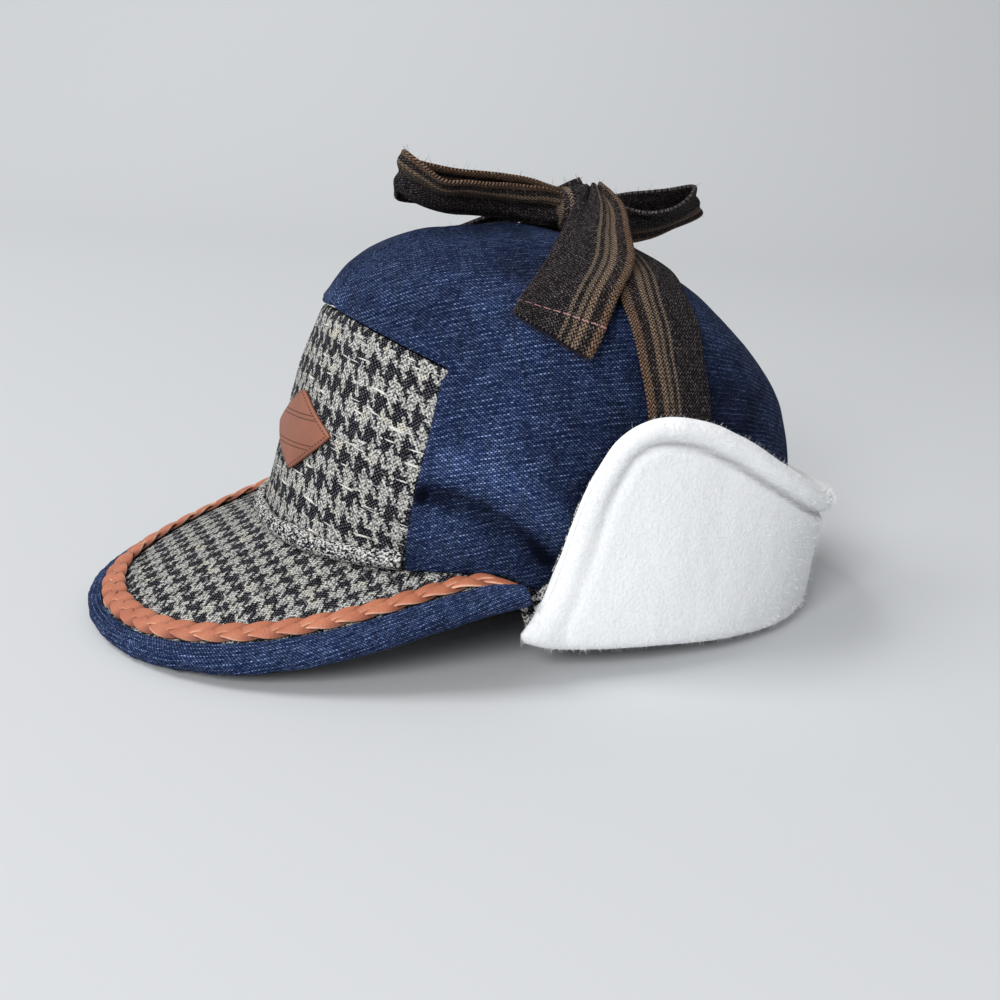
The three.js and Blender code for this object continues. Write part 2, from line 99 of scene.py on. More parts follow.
# turn of the front panel's seam, in equal steps from the crown's edge to the panel's corner
panel_seam = [(47.1,), (45.2,), (45,), (45.5,), (46.2,)]
panel_corner_row = 4.06
panel_corner_turn = 48.3
panel_corner_tip = 2.1
panel_top_row = 4.87
panel_arch = 1.9
# beside a seam: how high the cloth's roll is, how far off and how wide, and the groove's depth and width
panel_seam_roll = (0.75, 2, 1.9, 0.5, 0.9)
centre_seam_roll = (0.5, 2.4, 1.5, 0.8, 1.1)
seam_overlap = 0.4
# rows of each half's mesh beside the panel, along its arch and behind it
crown_mesh_rows = (30, 9, 36)
fold_points = 25
# turn and row at the start, middle and end of each fold, how deep it is, and its spread, in mm
crown_folds = [
    (46.5, 1.62, 61, 1.27, 75.5, 0.25, 3.8, 2.7),
    (52, 2.2, 65, 1.95, 79, 0.8, -2.4, 6),
    (50, 1.0, 57, 0.75, 65, 0.1, -1.1, 4.5),
    (46.9, 2.45, 48.5, 1.55, 50.6, 0.55, 0.9, 0.8),
    (58, 5.6, 66, 6, 76, 6.3, -0.5, 3),
    (34, 5.3, 46, 5.2, 58, 4.9, 0.5, 5),
    (-4, 5.1, 0, 5.1, 4, 5.1, -1.3, 6),
    (-56, 1.7, -66, 1.2, -74, 0.4, 1.6, 4),
    (-52, 0.9, -60, 0.8, -68, 0.3, -0.8, 4.5),
    (120, 2.4, 128, 2.9, 138, 3.1, 0.6, 5),
    (-118, 3.4, -130, 3.2, -140, 2.6, 0.7, 5),
]
# turn, row, spread in turn and in rows, and the change there: above 0 the denim is paler, partly faded and
# partly painted light, and below 0 it is darker with painted shade
denim_fading_and_painted_shade = [
    (62, 2.7, 12, 0.8, 0.5),
    (66, 5.2, 16, 0.7, 0.3),
    (28, 5.6, 18, 0.5, 0.12),
    (50, 0.5, 12, 0.5, 0.12),
    (80, 1.4, 9, 0.9, -0.35),
    (105, 2.6, 24, 1.3, -0.45),
    (78, 6.9, 30, 0.6, -0.3),
    (125, 4.5, 16, 1.2, 0.05),
    (-62, 2.7, 14, 1, 0.4),
    (-110, 3, 26, 1.5, -0.2),
    (180, 4, 30, 1.5, 0.25),
]


def along(table, column, place):
    """Smooth value of a table's column at a place counted in rows."""
    last = len(table) - 1
    at = min(max(place, 0), last)
    i = min(int(at), last - 1)
    t = at - i
    here, after = table[i][column], table[i + 1][column]
    before = table[i - 1][column] if i > 0 else 2 * here - after
    beyond = table[i + 2][column] if i + 2 <= last else 2 * after - here
    bend = 2 * before - 5 * here + 4 * after - beyond
    twist = 3 * here - before - 3 * after + beyond
    return 0.5 * (2 * here + (after - before) * t + bend * t * t + twist * t * t * t)


def fuller(value):
    return math.copysign(abs(value) ** crown_fullness, value)


def ramp(value, start, end):
    """Share of the way from start to end: 0 before it and 1 past it."""
    return min(max((value - start) / (end - start), 0), 1)


def hump(distance, spread):
    """Soft hump: 1 in its middle, and fading out over its spread."""
    return math.exp(-((distance / spread) ** 2))


def crown_plain(turn, row):
    """Point of the crown's smooth surface, in mm from the crown's centre on the table."""
    angle = math.radians(turn)
    is_front = math.cos(angle) > 0
    at_top = row >= crown_last
    reach = 0 if at_top else along(crown_rows, 2 if is_front else 4, row)
    side = 0 if at_top else along(crown_rows, 0, row)
    side_up = along(crown_rows, 1, row)
    end_up = along(crown_rows, 3 if is_front else 5, row)
    y = along(crown_rows, 6, row) - reach * fuller(math.cos(angle))
    z = side_up + (end_up - side_up) * math.cos(angle) ** 2
    return Vector((side * fuller(math.sin(angle)), y, z + crown_edge_up + crown_edge_slope * y))


def crown_out(turn, row):
    if row > crown_last - 0.05:
        return Vector((0, 0, 1))
    across = crown_plain(turn + 1, row) - crown_plain(turn - 1, row)
    rise = crown_plain(turn, row + 0.04) - crown_plain(turn, max(row - 0.04, 0))
    return across.cross(rise).normalized()


def crown_point(turn, row, lift):
    return crown_plain(turn, row) + crown_out(turn, row) * lift


def panel_edge_turn(row):
    """Turn of the front panel's seam at a row; it closes to 0 along the panel's arched top."""
    if row <= panel_corner_row:
        tip = panel_corner_tip * hump(panel_corner_row - row, 0.14)
        return along(panel_seam, 0, row * (len(panel_seam) - 1) / panel_corner_row) + tip
    if row >= panel_top_row:
        return 0
    share = (panel_top_row - row) / (panel_top_row - panel_corner_row)
    return panel_corner_turn * share ** (1 / panel_arch)


def in_place(point):
    """A point in the crown's millimetres, in metres from the cap's origin."""
    return (point + crown_centre) / 1000


def tree_of(points):
    tree = kdtree.KDTree(len(points))
    for i, point in enumerate(points):
        tree.insert(point, i)
    tree.balance()
    return tree


def cloth_sheet(name, columns, rows, place):
    """Sheet of cloth: a grid with its points moved to place(u, v), which keeps u and v as its map."""
    shape = bmesh.new()
    bmesh.ops.create_grid(shape, x_segments=columns, y_segments=rows, size=0.5)
    cloth = shape.loops.layers.uv.new("cloth")
    for face in shape.faces:
        face.smooth = True
        for corner in face.loops:
            corner[cloth].uv = corner.vert.co.xy + Vector((0.5, 0.5))
    for point in shape.verts:
        point.co = place(point.co.x + 0.5, point.co.y + 0.5)
    bmesh.ops.remove_doubles(shape, verts=shape.verts, dist=0.00002)
    return new_piece(name, shape)


def new_piece(name, shape):
    data = bpy.data.meshes.new(name)
    shape.to_mesh(data)
    shape.free()
    piece = bpy.data.objects.new(name, data)
    bpy.context.collection.objects.link(piece)
    return piece


def lay_flat(piece, start, end):
    """Gives a sheet the map of its flat cut, in metres, with the line from start to end along u."""
    bpy.context.view_layer.objects.active = piece
    bpy.ops.object.mode_set(mode="EDIT")
    bpy.ops.mesh.select_all(action="SELECT")
    bpy.ops.uv.unwrap(method="ANGLE_BASED", margin=0)
    bpy.ops.object.mode_set(mode="OBJECT")
    cloth = piece.data.uv_layers["cloth"].data
    flat_area = 0
    for face in piece.data.polygons:
        corners = [cloth[i].uv.copy() for i in face.loop_indices]
        for i, corner in enumerate(corners):
            after = corners[(i + 1) % len(corners)]
            flat_area += (corner.x * after.y - after.x * corner.y) / 2
    size = math.sqrt(sum(face.area for face in piece.data.polygons) / abs(flat_area))
    ends = []
    points = piece.data.vertices
    for target in (start, end):
        nearest = min(piece.data.loops, key=lambda c: (points[c.vertex_index].co - target).length)
        ends.append(cloth[nearest.index].uv.copy())
    run = (ends[1] - ends[0]).normalized()
    for corner in cloth:
        spot = (corner.uv - ends[0]) * size
        corner.uv = (spot.dot(run), run.x * spot.y - run.y * spot.x)


def mark_points(piece, name, value_at):
    """Gives each point of a sheet a value for its material, from its place and its map."""
    marked = piece.data.attributes.new(name, "FLOAT", "POINT")
    cloth = piece.data.uv_layers["cloth"].data
    map_of = {corner.vertex_index: spot.uv.copy() for corner, spot in zip(piece.data.loops, cloth)}
    for point, value in zip(piece.data.vertices, marked.data):
        value.value = value_at(point.co, *map_of[point.index])


def thicken(piece, thick, offset):
    """Gives a sheet its cloth's thickness, in metres, and rounds its facets off."""
    wall = piece.modifiers.new("wall", "SOLIDIFY")
    wall.thickness = thick
    wall.offset = offset
    soft = piece.modifiers.new("soft", "SUBSURF")
    soft.levels = 1
    soft.render_levels = 1


def node(tree, kind, inputs=(), output=0, **settings):
    """Adds a shader node with its settings and inputs, which are values or other nodes' outputs."""
    made = tree.nodes.new("ShaderNode" + kind)
    for key, value in settings.items():
        setattr(made, key, value)
    for key, value in (inputs.items() if isinstance(inputs, dict) else enumerate(inputs)):
        if isinstance(value, bpy.types.NodeSocket):
            tree.links.new(value, made.inputs[key])
        else:
            made.inputs[key].default_value = value
    return made.outputs[output]


def calc(tree, operation, *values):
    return node(tree, "Math", values, operation=operation)


def times(tree, product, *others):
    for other in others:
        product = calc(tree, "MULTIPLY", product, other)
    return product


def ranged(tree, value, *limits):
    """Takes a value from between the first two limits to between the last two, and keeps it there."""
    return node(tree, "MapRange", [value, *limits])


def swing(tree, value, size):
    """Noise about 0.5, as a swing about 0."""
    return times(tree, calc(tree, "SUBTRACT", value, 0.5), size)


def off_middle(tree, value):
    """Distance from 0.5, of a value that runs from 0 to 1."""
    return calc(tree, "ABSOLUTE", calc(tree, "SUBTRACT", value, 0.5))


def axis_of(tree, spot, axis):
    return node(tree, "SeparateXYZ", [spot], axis)


def first_of(tree, count, repeat, first):
    """1 for the first few of each repeat, and 0 for the rest of it."""
    return calc(tree, "LESS_THAN", calc(tree, "FLOORED_MODULO", count, repeat), first)


def mixed(tree, share, first, second):
    return node(tree, "Mix", {0: share, 6: first, 7: second}, 2, data_type="RGBA")


def paint(red, green, blue):
    """Colour as a paint chart gives it, from 0 to 255, for a shader socket."""
    return [*(((c / 255 + 0.055) / 1.055) ** 2.4 for c in (red, green, blue)), 1]


def new_material(name, roughness, gloss=0.06):
    material = bpy.data.materials.new(name)
    material.use_nodes = True
    shader = material.node_tree.nodes["Principled BSDF"]
    shader.inputs["Roughness"].default_value = roughness
    shader.inputs["Specular IOR Level"].default_value = gloss
    return material, material.node_tree, shader


def finish(tree, shader, colour, height, depth):
    tree.links.new(colour, shader.inputs["Base Color"])
    bump = node(tree, "Bump", {"Height": height, "Distance": depth, "Strength": 1.0})
    tree.links.new(bump, shader.inputs["Normal"])


def stretched(tree, spot, scale, detail=2.0):
    """Noise on the cloth's map, finer or coarser in each direction."""
    moved = node(tree, "Mapping", {"Vector": spot, "Scale": scale})
    return node(tree, "TexNoise", {"Vector": moved, "Scale": 1.0, "Detail": detail})


def denim_finish(name, paleness):
    """Twill: short pale dashes of weft on an indigo ground, each row a part of a step further along."""
    weft_row = 0.00055
    dash_step = 0.00112
    row_shift = 0.41
    material, tree, shader = new_material(name, 0.9)
    spot = node(tree, "UVMap", uv_map="cloth")
    sway = swing(tree, stretched(tree, spot, (120, 120, 1), 1.0), 0.0009)
    u = calc(tree, "ADD", axis_of(tree, spot, 0), sway)
    v = calc(tree, "ADD", axis_of(tree, spot, 1), sway)
    rows = calc(tree, "DIVIDE", v, weft_row)
    j = calc(tree, "FLOOR", rows)
    columns = calc(tree, "MULTIPLY_ADD", j, row_shift, calc(tree, "DIVIDE", u, dash_step))
    cell = node(tree, "CombineXYZ", [calc(tree, "FLOOR", columns), j, 0.0])
    chance = node(tree, "TexWhiteNoise", {"Vector": cell}, 0, noise_dimensions="2D")
    long_way = ranged(tree, off_middle(tree, calc(tree, "FRACT", columns)), 0.26, 0.42, 1.0, 0.0)
    short_way = ranged(tree, off_middle(tree, calc(tree, "FRACT", rows)), 0.3, 0.5, 1.0, 0.0)
    dash = times(tree, long_way, short_way)
    slub = stretched(tree, spot, (110, 1700, 1))
    streak = stretched(tree, spot, (520, 40, 1))
    grit = stretched(tree, spot, (700, 900, 1), 3.0)
    cloud = stretched(tree, spot, (30, 30, 1), 4.0)
    blotch = stretched(tree, spot, (110, 150, 1), 3.0)
    # the point attribute holds fading and painted light (paler) and painted shade (darker), which set how
    # pale the denim is
    shade_and_fading_mark = node(tree, "Attribute", (), 2, attribute_name="fading_and_painted_shade")
    shade_and_fading_mix = calc(tree, "ADD", shade_and_fading_mark, swing(tree, cloud, 1.1))
    shade_and_fading_mix = calc(tree, "ADD", shade_and_fading_mix, swing(tree, blotch, 0.9))
    shade_and_fading_mix = ranged(tree, calc(tree, "MULTIPLY_ADD", shade_and_fading_mix, 0.5, paleness), 0.0, 1.0, 0.0, 1.0)
    ground = mixed(tree, shade_and_fading_mix, paint(4, 10, 30), paint(16, 37, 83))
    ground = mixed(tree, ranged(tree, streak, 0.3, 0.56, 0.6, 0.0), ground, paint(3, 8, 26))
    strong_row = first_of(tree, j, 3.0, 1.0)
    pale = times(
        tree,
        calc(tree, "MULTIPLY_ADD", chance, 0.85, 0.15),
        ranged(tree, slub, 0.36, 0.66, 0.35, 1.15),
        calc(tree, "MULTIPLY_ADD", strong_row, 0.6, 0.4),
        calc(tree, "MULTIPLY_ADD", shade_and_fading_mix, 1.45, 0.05),
        dash,
        ranged(tree, grit, 0.3, 0.6, 0.5, 1.3),
    )
    colour = mixed(tree, pale, ground, paint(142, 166, 216))
    # painted shade: the folds darkened towards near black
    painted_fold_shade = ranged(tree, shade_and_fading_mark, 0.0, -1.2, 0.0, 0.85)
    colour = mixed(tree, painted_fold_shade, colour, paint(4, 7, 18))
    height = calc(tree, "ADD", dash, times(tree, grit, 1.1))
    finish(tree, shader, colour, height, 0.00032)
    return material


def fold_lines(folds):
    """Each fold as points along its curve, with its depth and its spread."""
    lines = []
    for t0, r0, t1, r1, t2, r2, depth, spread in folds:
        points = []
        for i in range(fold_points):
            t = i / (fold_points - 1)
            a, b, c = (1 - t) * (1 - 2 * t), 4 * t * (1 - t), t * (2 * t - 1)
            points.append(crown_plain(a * t0 + b * t1 + c * t2, a * r0 + b * r1 + c * r2))
        lines.append((tree_of(points), depth, spread))
    return lines


def panel_seam_points(side):
    """Points along one side of the panel's seam, which stand closer together on its arch."""
    arch_rows = panel_top_row - panel_corner_row
    rows = [panel_corner_row * i / 200 for i in range(200)]
    rows += [panel_corner_row + arch_rows * i / 100 for i in range(100)]
    return [crown_plain(side * panel_edge_turn(row), row) for row in rows]


def centre_seam_points(turn, first_row):
    """Points along the seam from front to back, on the front of the crown or on its back."""
    return [crown_plain(turn, first_row + (crown_last - first_row) * i / 300) for i in range(300)]


folded = fold_lines(crown_folds)
panel_edge = tree_of(panel_seam_points(1) + panel_seam_points(-1))
centre_seam = tree_of(centre_seam_points(0, panel_top_row) + centre_seam_points(180, 0))


def crown_folding(turn, row):
    """How far the crown's cloth stands out of its smooth surface, in mm, from its folds and its slack."""
    spot = crown_plain(turn, row)
    out = 0
    for tree, depth, spread in folded:
        index, distance = tree.find(spot)[1:]
        if distance < 3 * spread:
            taper = math.sin(math.pi * (index + 2) / (fold_points + 3)) ** 0.6
            out -= depth * taper * hump(distance, spread)
    out += 0.9 * noise.noise(spot * 0.035) + 0.35 * noise.noise(spot * 0.1 + Vector((7, 1, 4)))
    return out + 0.12 * noise.noise(spot * 0.3)


def crown_drop(turn, row):
    """How far the crown's lower edge hangs under its smooth surface beside the flap's front end, in mm."""
    at = abs(turn)
    start = ramp(at, 65, 77)
    end = ramp(at, 112, 92)
    return 7.5 * start * start * (3 - 2 * start) * end * max(0, 1 - row / 0.9) ** 1.5


def seam_relief(distance, roll):
    """How far the cloth stands out beside a seam, in mm: a soft roll, and a groove along the stitches."""
    height, away, wide, depth, narrow = roll
    return height * hump(distance - away, wide) - depth * hump(distance, narrow)


def crown_half(sign):
    """One half of the crown: sign is 1 for the wearer's left and -1 for the right."""
    beside, arched, behind = crown_mesh_rows

    def place(u, v):
        step = round(v * sum(crown_mesh_rows))
        if step <= beside:
            row = panel_corner_row * step / beside
        elif step <= beside + arched:
            row = panel_corner_row + (panel_top_row - panel_corner_row) * (step - beside) / arched
        else:
            past_panel = ((step - beside - arched) / behind) ** 0.97
            row = panel_top_row + (crown_last - panel_top_row) * past_panel
        start = panel_edge_turn(row)
        part = u if sign > 0 else 1 - u
        part = 0.55 * part + 0.45 * part ** 2
        turn = sign * (start + (180 - start) * part)
        spot = crown_plain(turn, row)
        to_panel = panel_edge.find(spot)[2]
        to_centre = centre_seam.find(spot)[2]
        lift = crown_folding(turn, row) * min(1, (to_panel + 1) / 6)
        lift += seam_relief(to_panel, panel_seam_roll) + seam_relief(to_centre, centre_seam_roll)
        pucker = noise.noise(spot * 0.22 + Vector((3, 3, 3)))
        lift += 0.4 * pucker * (math.exp(-to_panel / 7) + math.exp(-to_centre / 8))
        point = spot + crown_out(turn, row) * lift
        point.z -= crown_drop(turn, row)
        # at the centre seam each half runs a little past the middle, so no light comes through
        point.x = sign * max(point.x * sign - seam_overlap, -seam_overlap)
        return in_place(point)

    def fading_and_painted_shade_at(point, u, v):
        spot = point * 1000 - crown_centre
        paleness = sum(change * hump((spot - middle).length, reach) for middle, reach, change in fading_and_painted_shade_places)
        # painted shade along each fold, darker where the fold is deeper
        for tree, depth, spread in folded:
            paleness -= 0.36 * depth * hump(tree.find(spot)[2], spread)
        return paleness

    name = "crown_left_denim" if sign > 0 else "crown_right_denim"
    half = cloth_sheet(name, 84, sum(crown_mesh_rows), place)
    front, back = in_place(crown_plain(sign * 60, 2.2)), in_place(crown_plain(sign * 120, 2.2))
    lay_flat(half, *((front, back) if sign > 0 else (back, front)))
    mark_points(half, "fading_and_painted_shade", fading_and_painted_shade_at)
    thicken(half, denim_thick, -1)
    half.data.materials.append(crown_denim)
    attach(half, "root")
    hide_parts("crown_left" if sign > 0 else "crown_right")


fading_and_painted_shade_places = []
for turn, row, turn_spread, row_spread, change in denim_fading_and_painted_shade:
    middle = crown_plain(turn, row)
    reach = (crown_plain(turn, row + row_spread) - middle).length
    wide = (crown_plain(turn + turn_spread, row) - middle).length
    fading_and_painted_shade_places.append((middle, (reach + wide) / 2, change))
crown_denim = denim_finish("crown_denim", 0.36)
crown_half(1)
crown_half(-1)


# Front panel: one piece of wool houndstooth, set a little under the denim that is turned over its edge.
# It is a 2/2 twill of four dark and four pale threads, loose and ragged, with pale slubs along the weft.
panel_thick = 0.0016
panel_sunk = 0.8


def shaken(tree, spot, scale, detail, size):
    """Small steps along the cloth, up to half a size in metres, that shake its threads out of line."""
    shake = node(tree, "TexNoise", {"Vector": spot, "Scale": scale, "Detail": detail}, 1)
    shake = node(tree, "VectorMath", [shake, (0.5, 0.5, 0.5)], operation="SUBTRACT")
    return node(tree, "VectorMath", [shake, (size, size, 0.0)], operation="MULTIPLY")


def houndstooth_finish(name, warp_pitch, weft_pitch, slubs, opened=0.0):
    """Check of threads of two widths, in metres; slubs and opened say how strongly each of those shows."""
    lattice = 2 * math.pi / 0.0015
    material, tree, shader = new_material(name, 0.95)
    spot = node(tree, "UVMap", uv_map="cloth")
    laid = node(tree, "VectorMath", [spot, shaken(tree, spot, 110.0, 1.0, 0.003)], operation="ADD")
    torn = node(tree, "VectorMath", [laid, shaken(tree, spot, 800.0, 2.0, 0.0022)], operation="ADD")
    i = calc(tree, "FLOOR", calc(tree, "DIVIDE", axis_of(tree, torn, 0), warp_pitch))
    j = calc(tree, "FLOOR", calc(tree, "DIVIDE", axis_of(tree, torn, 1), weft_pitch))
    warp_dark = first_of(tree, i, 8.0, 4.0)
    weft_dark = first_of(tree, j, 8.0, 4.0)
    warp_up = first_of(tree, calc(tree, "ADD", i, j), 4.0, 2.0)
    dark = node(tree, "Mix", {0: warp_up, 2: weft_dark, 3: warp_dark}, 0)
    light = calc(tree, "SUBTRACT", 1.0, dark)
    fleck = stretched(tree, spot, (1000, 1000, 1))
    pale = mixed(tree, ranged(tree, fleck, 0.42, 0.62, 0.0, 1.0), paint(194, 193, 188), paint(78, 78, 80))
    cream = stretched(tree, spot, (80, 110, 1), 3.0)
    pale = mixed(tree, ranged(tree, cream, 0.56, 0.7, 0.0, 0.6), pale, paint(204, 198, 176))
    black = mixed(tree, ranged(tree, fleck, 0.48, 0.7, 0.0, 0.7), paint(10, 10, 16), paint(64, 66, 76))
    colour = mixed(tree, dark, pale, black)
    laid_u, laid_v = axis_of(tree, laid, 0), axis_of(tree, laid, 1)
    cross_1 = calc(tree, "COSINE", times(tree, calc(tree, "ADD", laid_u, laid_v), lattice))
    cross_2 = calc(tree, "COSINE", times(tree, calc(tree, "SUBTRACT", laid_u, laid_v), lattice))
    crossed = calc(tree, "ADD", cross_1, cross_2)
    pit = ranged(tree, crossed, 0.2, 1.5, 0.0, 1.0)
    bright = ranged(tree, crossed, -0.6, -1.8, 0.0, 1.0)
    strength = ranged(tree, stretched(tree, spot, (420, 420, 1)), 0.35, 0.65, 0.2, 1.0)
    colour = mixed(tree, times(tree, pit, light, strength), colour, paint(44, 44, 50))
    colour = mixed(tree, times(tree, bright, dark, strength, 0.6), colour, paint(150, 150, 152))
    line = stretched(tree, spot, (75, 620, 1), 1.0)
    line = times(tree, ranged(tree, line, 0.655, 0.7, 0.0, 1.0), slubs)
    colour = mixed(tree, line, colour, paint(222, 221, 216))
    # where the cloth is pulled open its threads show one by one, black and white
    threads = stretched(tree, spot, (850, 1200, 1), 1.0)
    loose_pale = times(tree, ranged(tree, threads, 0.53, 0.6, 0.0, 1.0), opened)
    colour = mixed(tree, loose_pale, colour, paint(224, 224, 222))
    loose_dark = times(tree, ranged(tree, threads, 0.45, 0.38, 0.0, 1.0), opened)
    colour = mixed(tree, loose_dark, colour, paint(16, 16, 24))
    height = calc(tree, "ADD", times(tree, pit, -0.8), calc(tree, "MULTIPLY_ADD", fleck, 1.1, line))
    finish(tree, shader, colour, height, 0.0004)
    return material


def panel_row(turn, v):
    part = abs(turn) / panel_corner_turn
    return v * (panel_top_row - (panel_top_row - panel_corner_row) * part ** panel_arch)


def panel_place(u, v):
    share = 2 * u - 1
    corner = share * (panel_corner_turn - 0.2)
    row = panel_row(corner, v)
    turn = share * (panel_edge_turn(min(row, panel_corner_row)) + 0.1)
    spot = crown_plain(turn, row)
    lift = -panel_sunk + 0.5 * noise.noise(spot * 0.06) + 0.22 * noise.noise(spot * 0.25)
    lift -= 0.9 * hump(1 - v, 0.02)
    return in_place(crown_point(turn, row, lift))


panel = cloth_sheet("front_panel_cloth", 72, 48, panel_place)
lay_flat(panel, in_place(crown_plain(-20, 2)), in_place(crown_plain(20, 2)))
thicken(panel, panel_thick, -1)
panel.data.materials.append(houndstooth_finish("panel_houndstooth", 0.00104, 0.00142, 0.9))
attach(panel, "root")
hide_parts("front_panel")


# Welt: a raw strip of the same houndstooth, folded over the seam between the panel and the visor.
# It is pulled round the curve, so it is lumpy and its threads have opened.
welt_rows = 0.44
welt_thick = 0.0011
welt_swell = 3.1


def welt_place(u, v):
    row = v * welt_rows
    turn = (2 * u - 1) * (panel_edge_turn(row) - 0.3)
    spot = crown_plain(turn, row)
    swell = math.sin(math.pi * min(max(v, 0), 1)) ** 0.6
    lump = 0.9 * noise.noise(spot * 0.16) + 0.5 * noise.noise(spot * 0.5 + Vector((5, 5, 5)))
    sway = 0.07 * noise.noise(spot * 0.12) * v
    return in_place(crown_point(turn, row + sway, -0.3 + (welt_swell + lump) * swell))


welt = cloth_sheet("front_welt_cloth", 150, 8, welt_place)
lay_flat(welt, in_place(crown_plain(-20, 0.2)), in_place(crown_plain(20, 0.2)))
thicken(welt, welt_thick, -1)
welt.data.materials.append(houndstooth_finish("welt_houndstooth", 0.00115, 0.0009, 0.6, 0.75))
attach(welt, "root")
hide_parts("front_welt")


# Visor: a stiff board covered with houndstooth above and below, drooping to both sides.
# Its inner edge is tucked in under the crown.
visor_thick = 4
visor_end_turn = 66
visor_camber = 2
# how much its inner edge is drawn in and lowered under the crown, and how far it runs on there, in mm
visor_drawn_in = 0.985
visor_lowered = 1.3
visor_tucked = 4
# x, y and height of its outer edge from the tip to the end, and the width of the binding, in mm
visor_edge = [
    (0, -171, 2.8, 4.5),
    (20, -168.5, 2.9, 5),
    (39, -161.8, 3.4, 6),
    (55.5, -150.5, 4.6, 8),
    (69.2, -135.3, 6.8, 10),
    (79, -117.2, 10.6, 11),
    (86, -96.4, 16.4, 11),
    (91, -72.5, 23.8, 10),
    (94, -46, 31.3, 7.5),
]


def visor_plain(share, part):
    """Point of the visor's top: share from -1 to 1 round it, part from 0 at the crown to 1 at the edge."""
    place = abs(share) * (len(visor_edge) - 1)
    x, y, z = (along(visor_edge, column, place) for column in range(3))
    edge = Vector((math.copysign(x, share), y, z + visor_thick / 2))
    joint = crown_plain(share * visor_end_turn, 0)
    joint.x *= visor_drawn_in
    joint.y *= visor_drawn_in
    joint.z -= visor_lowered
    point = joint.lerp(edge, part)
    point.z += visor_camber * math.sin(math.pi * part)
    return point


def visor_up(share, part):
    across = visor_plain(min(share + 0.01, 1), part) - visor_plain(max(share - 0.01, -1), part)
    out = visor_plain(share, part + 0.01) - visor_plain(share, part - 0.01)
    return out.cross(across).normalized()


def visor_across(share):
    return (visor_plain(share, 1) - visor_plain(share, 0)).length


def visor_point(share, from_edge, lift):
    part = 1 + from_edge / visor_across(share)
    return visor_plain(share, part) + visor_up(share, min(part, 1)) * lift


def visor_place(u, v):
    share = 1 - 2 * u
    tucked = visor_tucked / visor_across(share)
    part = v * (1 + tucked - 1.3 / visor_across(share)) - tucked
    spot = visor_plain(share, part)
    ripple = 0.35 * noise.noise(spot * 0.05) * math.sin(math.pi * v)
    spot.z += 1.2 * math.exp(-max(part, 0) / tucked)
    return in_place(spot + visor_up(share, max(part, 0.01)) * ripple)


visor = cloth_sheet("visor_cloth", 110, 26, visor_place)
lay_flat(visor, in_place(visor_plain(-0.25, 0.4)), in_place(visor_plain(0.28, 0.45)))
thicken(visor, visor_thick / 1000, -1)
visor.data.materials.append(houndstooth_finish("visor_houndstooth", 0.00097, 0.00102, 0.15))
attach(visor, "root")
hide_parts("visor")


# Binding: a bias strip of denim, wrapped round the visor's edge from its top to its underside.
# It puckers where it goes round the visor's front corners.
binding_thick = 1.2
# how far its ends are drawn outwards, back and up, in mm, and how much narrower they are
binding_end_shift = (2.6, 4, 1.2)
binding_end_narrow = 0.45
# round its section: how far in or out, in shares of its width, and the height above the visor's top, in mm
binding_section = [
    (-1, 0),
    (-0.5, 0.1),
    (-0.12, 0),
    (0, -1.1),
    (0, -2.9),
    (-0.12, -4),
    (-0.5, -4.1),
    (-1, -4),
]


def binding_wide(share):
    return along(visor_edge, 3, abs(share) * (len(visor_edge) - 1))


def binding_place(u, v):
    share = 2 * u - 1
    place = (1 - v) * (len(binding_section) - 1)
    wide = binding_wide(share)
    run_out = wide * (along(binding_section, 0, place + 0.1) - along(binding_section, 0, place - 0.1))
    run_up = along(binding_section, 1, place + 0.1) - along(binding_section, 1, place - 0.1)
    size = math.hypot(run_out, run_up)
    curve = hump(abs(share) - 0.3, 0.22)
    way = u * 400 + 3 * v
    pucker = 0.3 * math.sin(way * 1.05 + 3 * noise.noise(Vector((way * 0.1, 0, 0)))) * curve
    pucker += 0.5 * noise.noise(Vector((way * 0.12, v * 4, 2)))
    off = 0.3 + binding_thick + pucker * math.sin(math.pi * v) ** 0.5
    end = ramp(abs(share), 0.962, 1) ** 1.5
    wide *= 1 - binding_end_narrow * end
    from_edge = along(binding_section, 0, place) * wide - run_up / size * off
    point = visor_point(share, from_edge, along(binding_section, 1, place) + run_out / size * off)
    outwards, back, rise = binding_end_shift
    return in_place(point + Vector((math.copysign(outwards, share), back, rise)) * end)


binding = cloth_sheet("visor_binding_denim", 220, 18, binding_place)
lay_flat(binding, in_place(visor_point(-0.1, 0, -2)), in_place(visor_point(0.1, 0, -2)))
thicken(binding, binding_thick / 1000, -1)
binding.data.materials.append(denim_finish("binding_denim", 0.5))
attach(binding, "root")
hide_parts("visor_binding")


# Braid: three flat laces of tan leather plaited round the top of the visor, beside the binding.
# Each lace is cut from a skin, so its edges show pale, and both ends are tucked under.
braid_wide = 9.5
laces = 3
lace_wide = 5
lace_thick = 1.0
lace_steps = 240
plait_length = 30
# how far its ends are drawn outwards, back and up, in mm
braid_end_shift = (4.8, 7, -2.6)
braid_path_steps = 800


def braid_middle(share):
    """Distance of the braid's middle from the visor's edge, and its width there, in mm."""
    start = binding_wide(share) + 0.3
    wide = min(braid_wide, visor_across(share) - start - 2.5)
    return -start - wide / 2, wide


braid_shares = [2 * i / braid_path_steps - 1 for i in range(braid_path_steps + 1)]
braid_path = [in_place(visor_point(share, braid_middle(share)[0], 0)) for share in braid_shares]
braid_run = [0]
for before, after in zip(braid_path, braid_path[1:]):
    braid_run.append(braid_run[-1] + (after - before).length * 1000)
braid_length = braid_run[-1]


def braid_share(distance):
    """Share round the visor at a distance along the braid."""
    passed = sum(1 for run in braid_run if run < distance)
    return braid_shares[min(passed, braid_path_steps)]


def grain(tree, scale, detail):
    """Noise that goes by the place on the piece itself, for leather and fleece."""
    spot = node(tree, "TexCoord", (), 3)
    return node(tree, "TexNoise", {"Vector": spot, "Scale": scale, "Detail": detail})


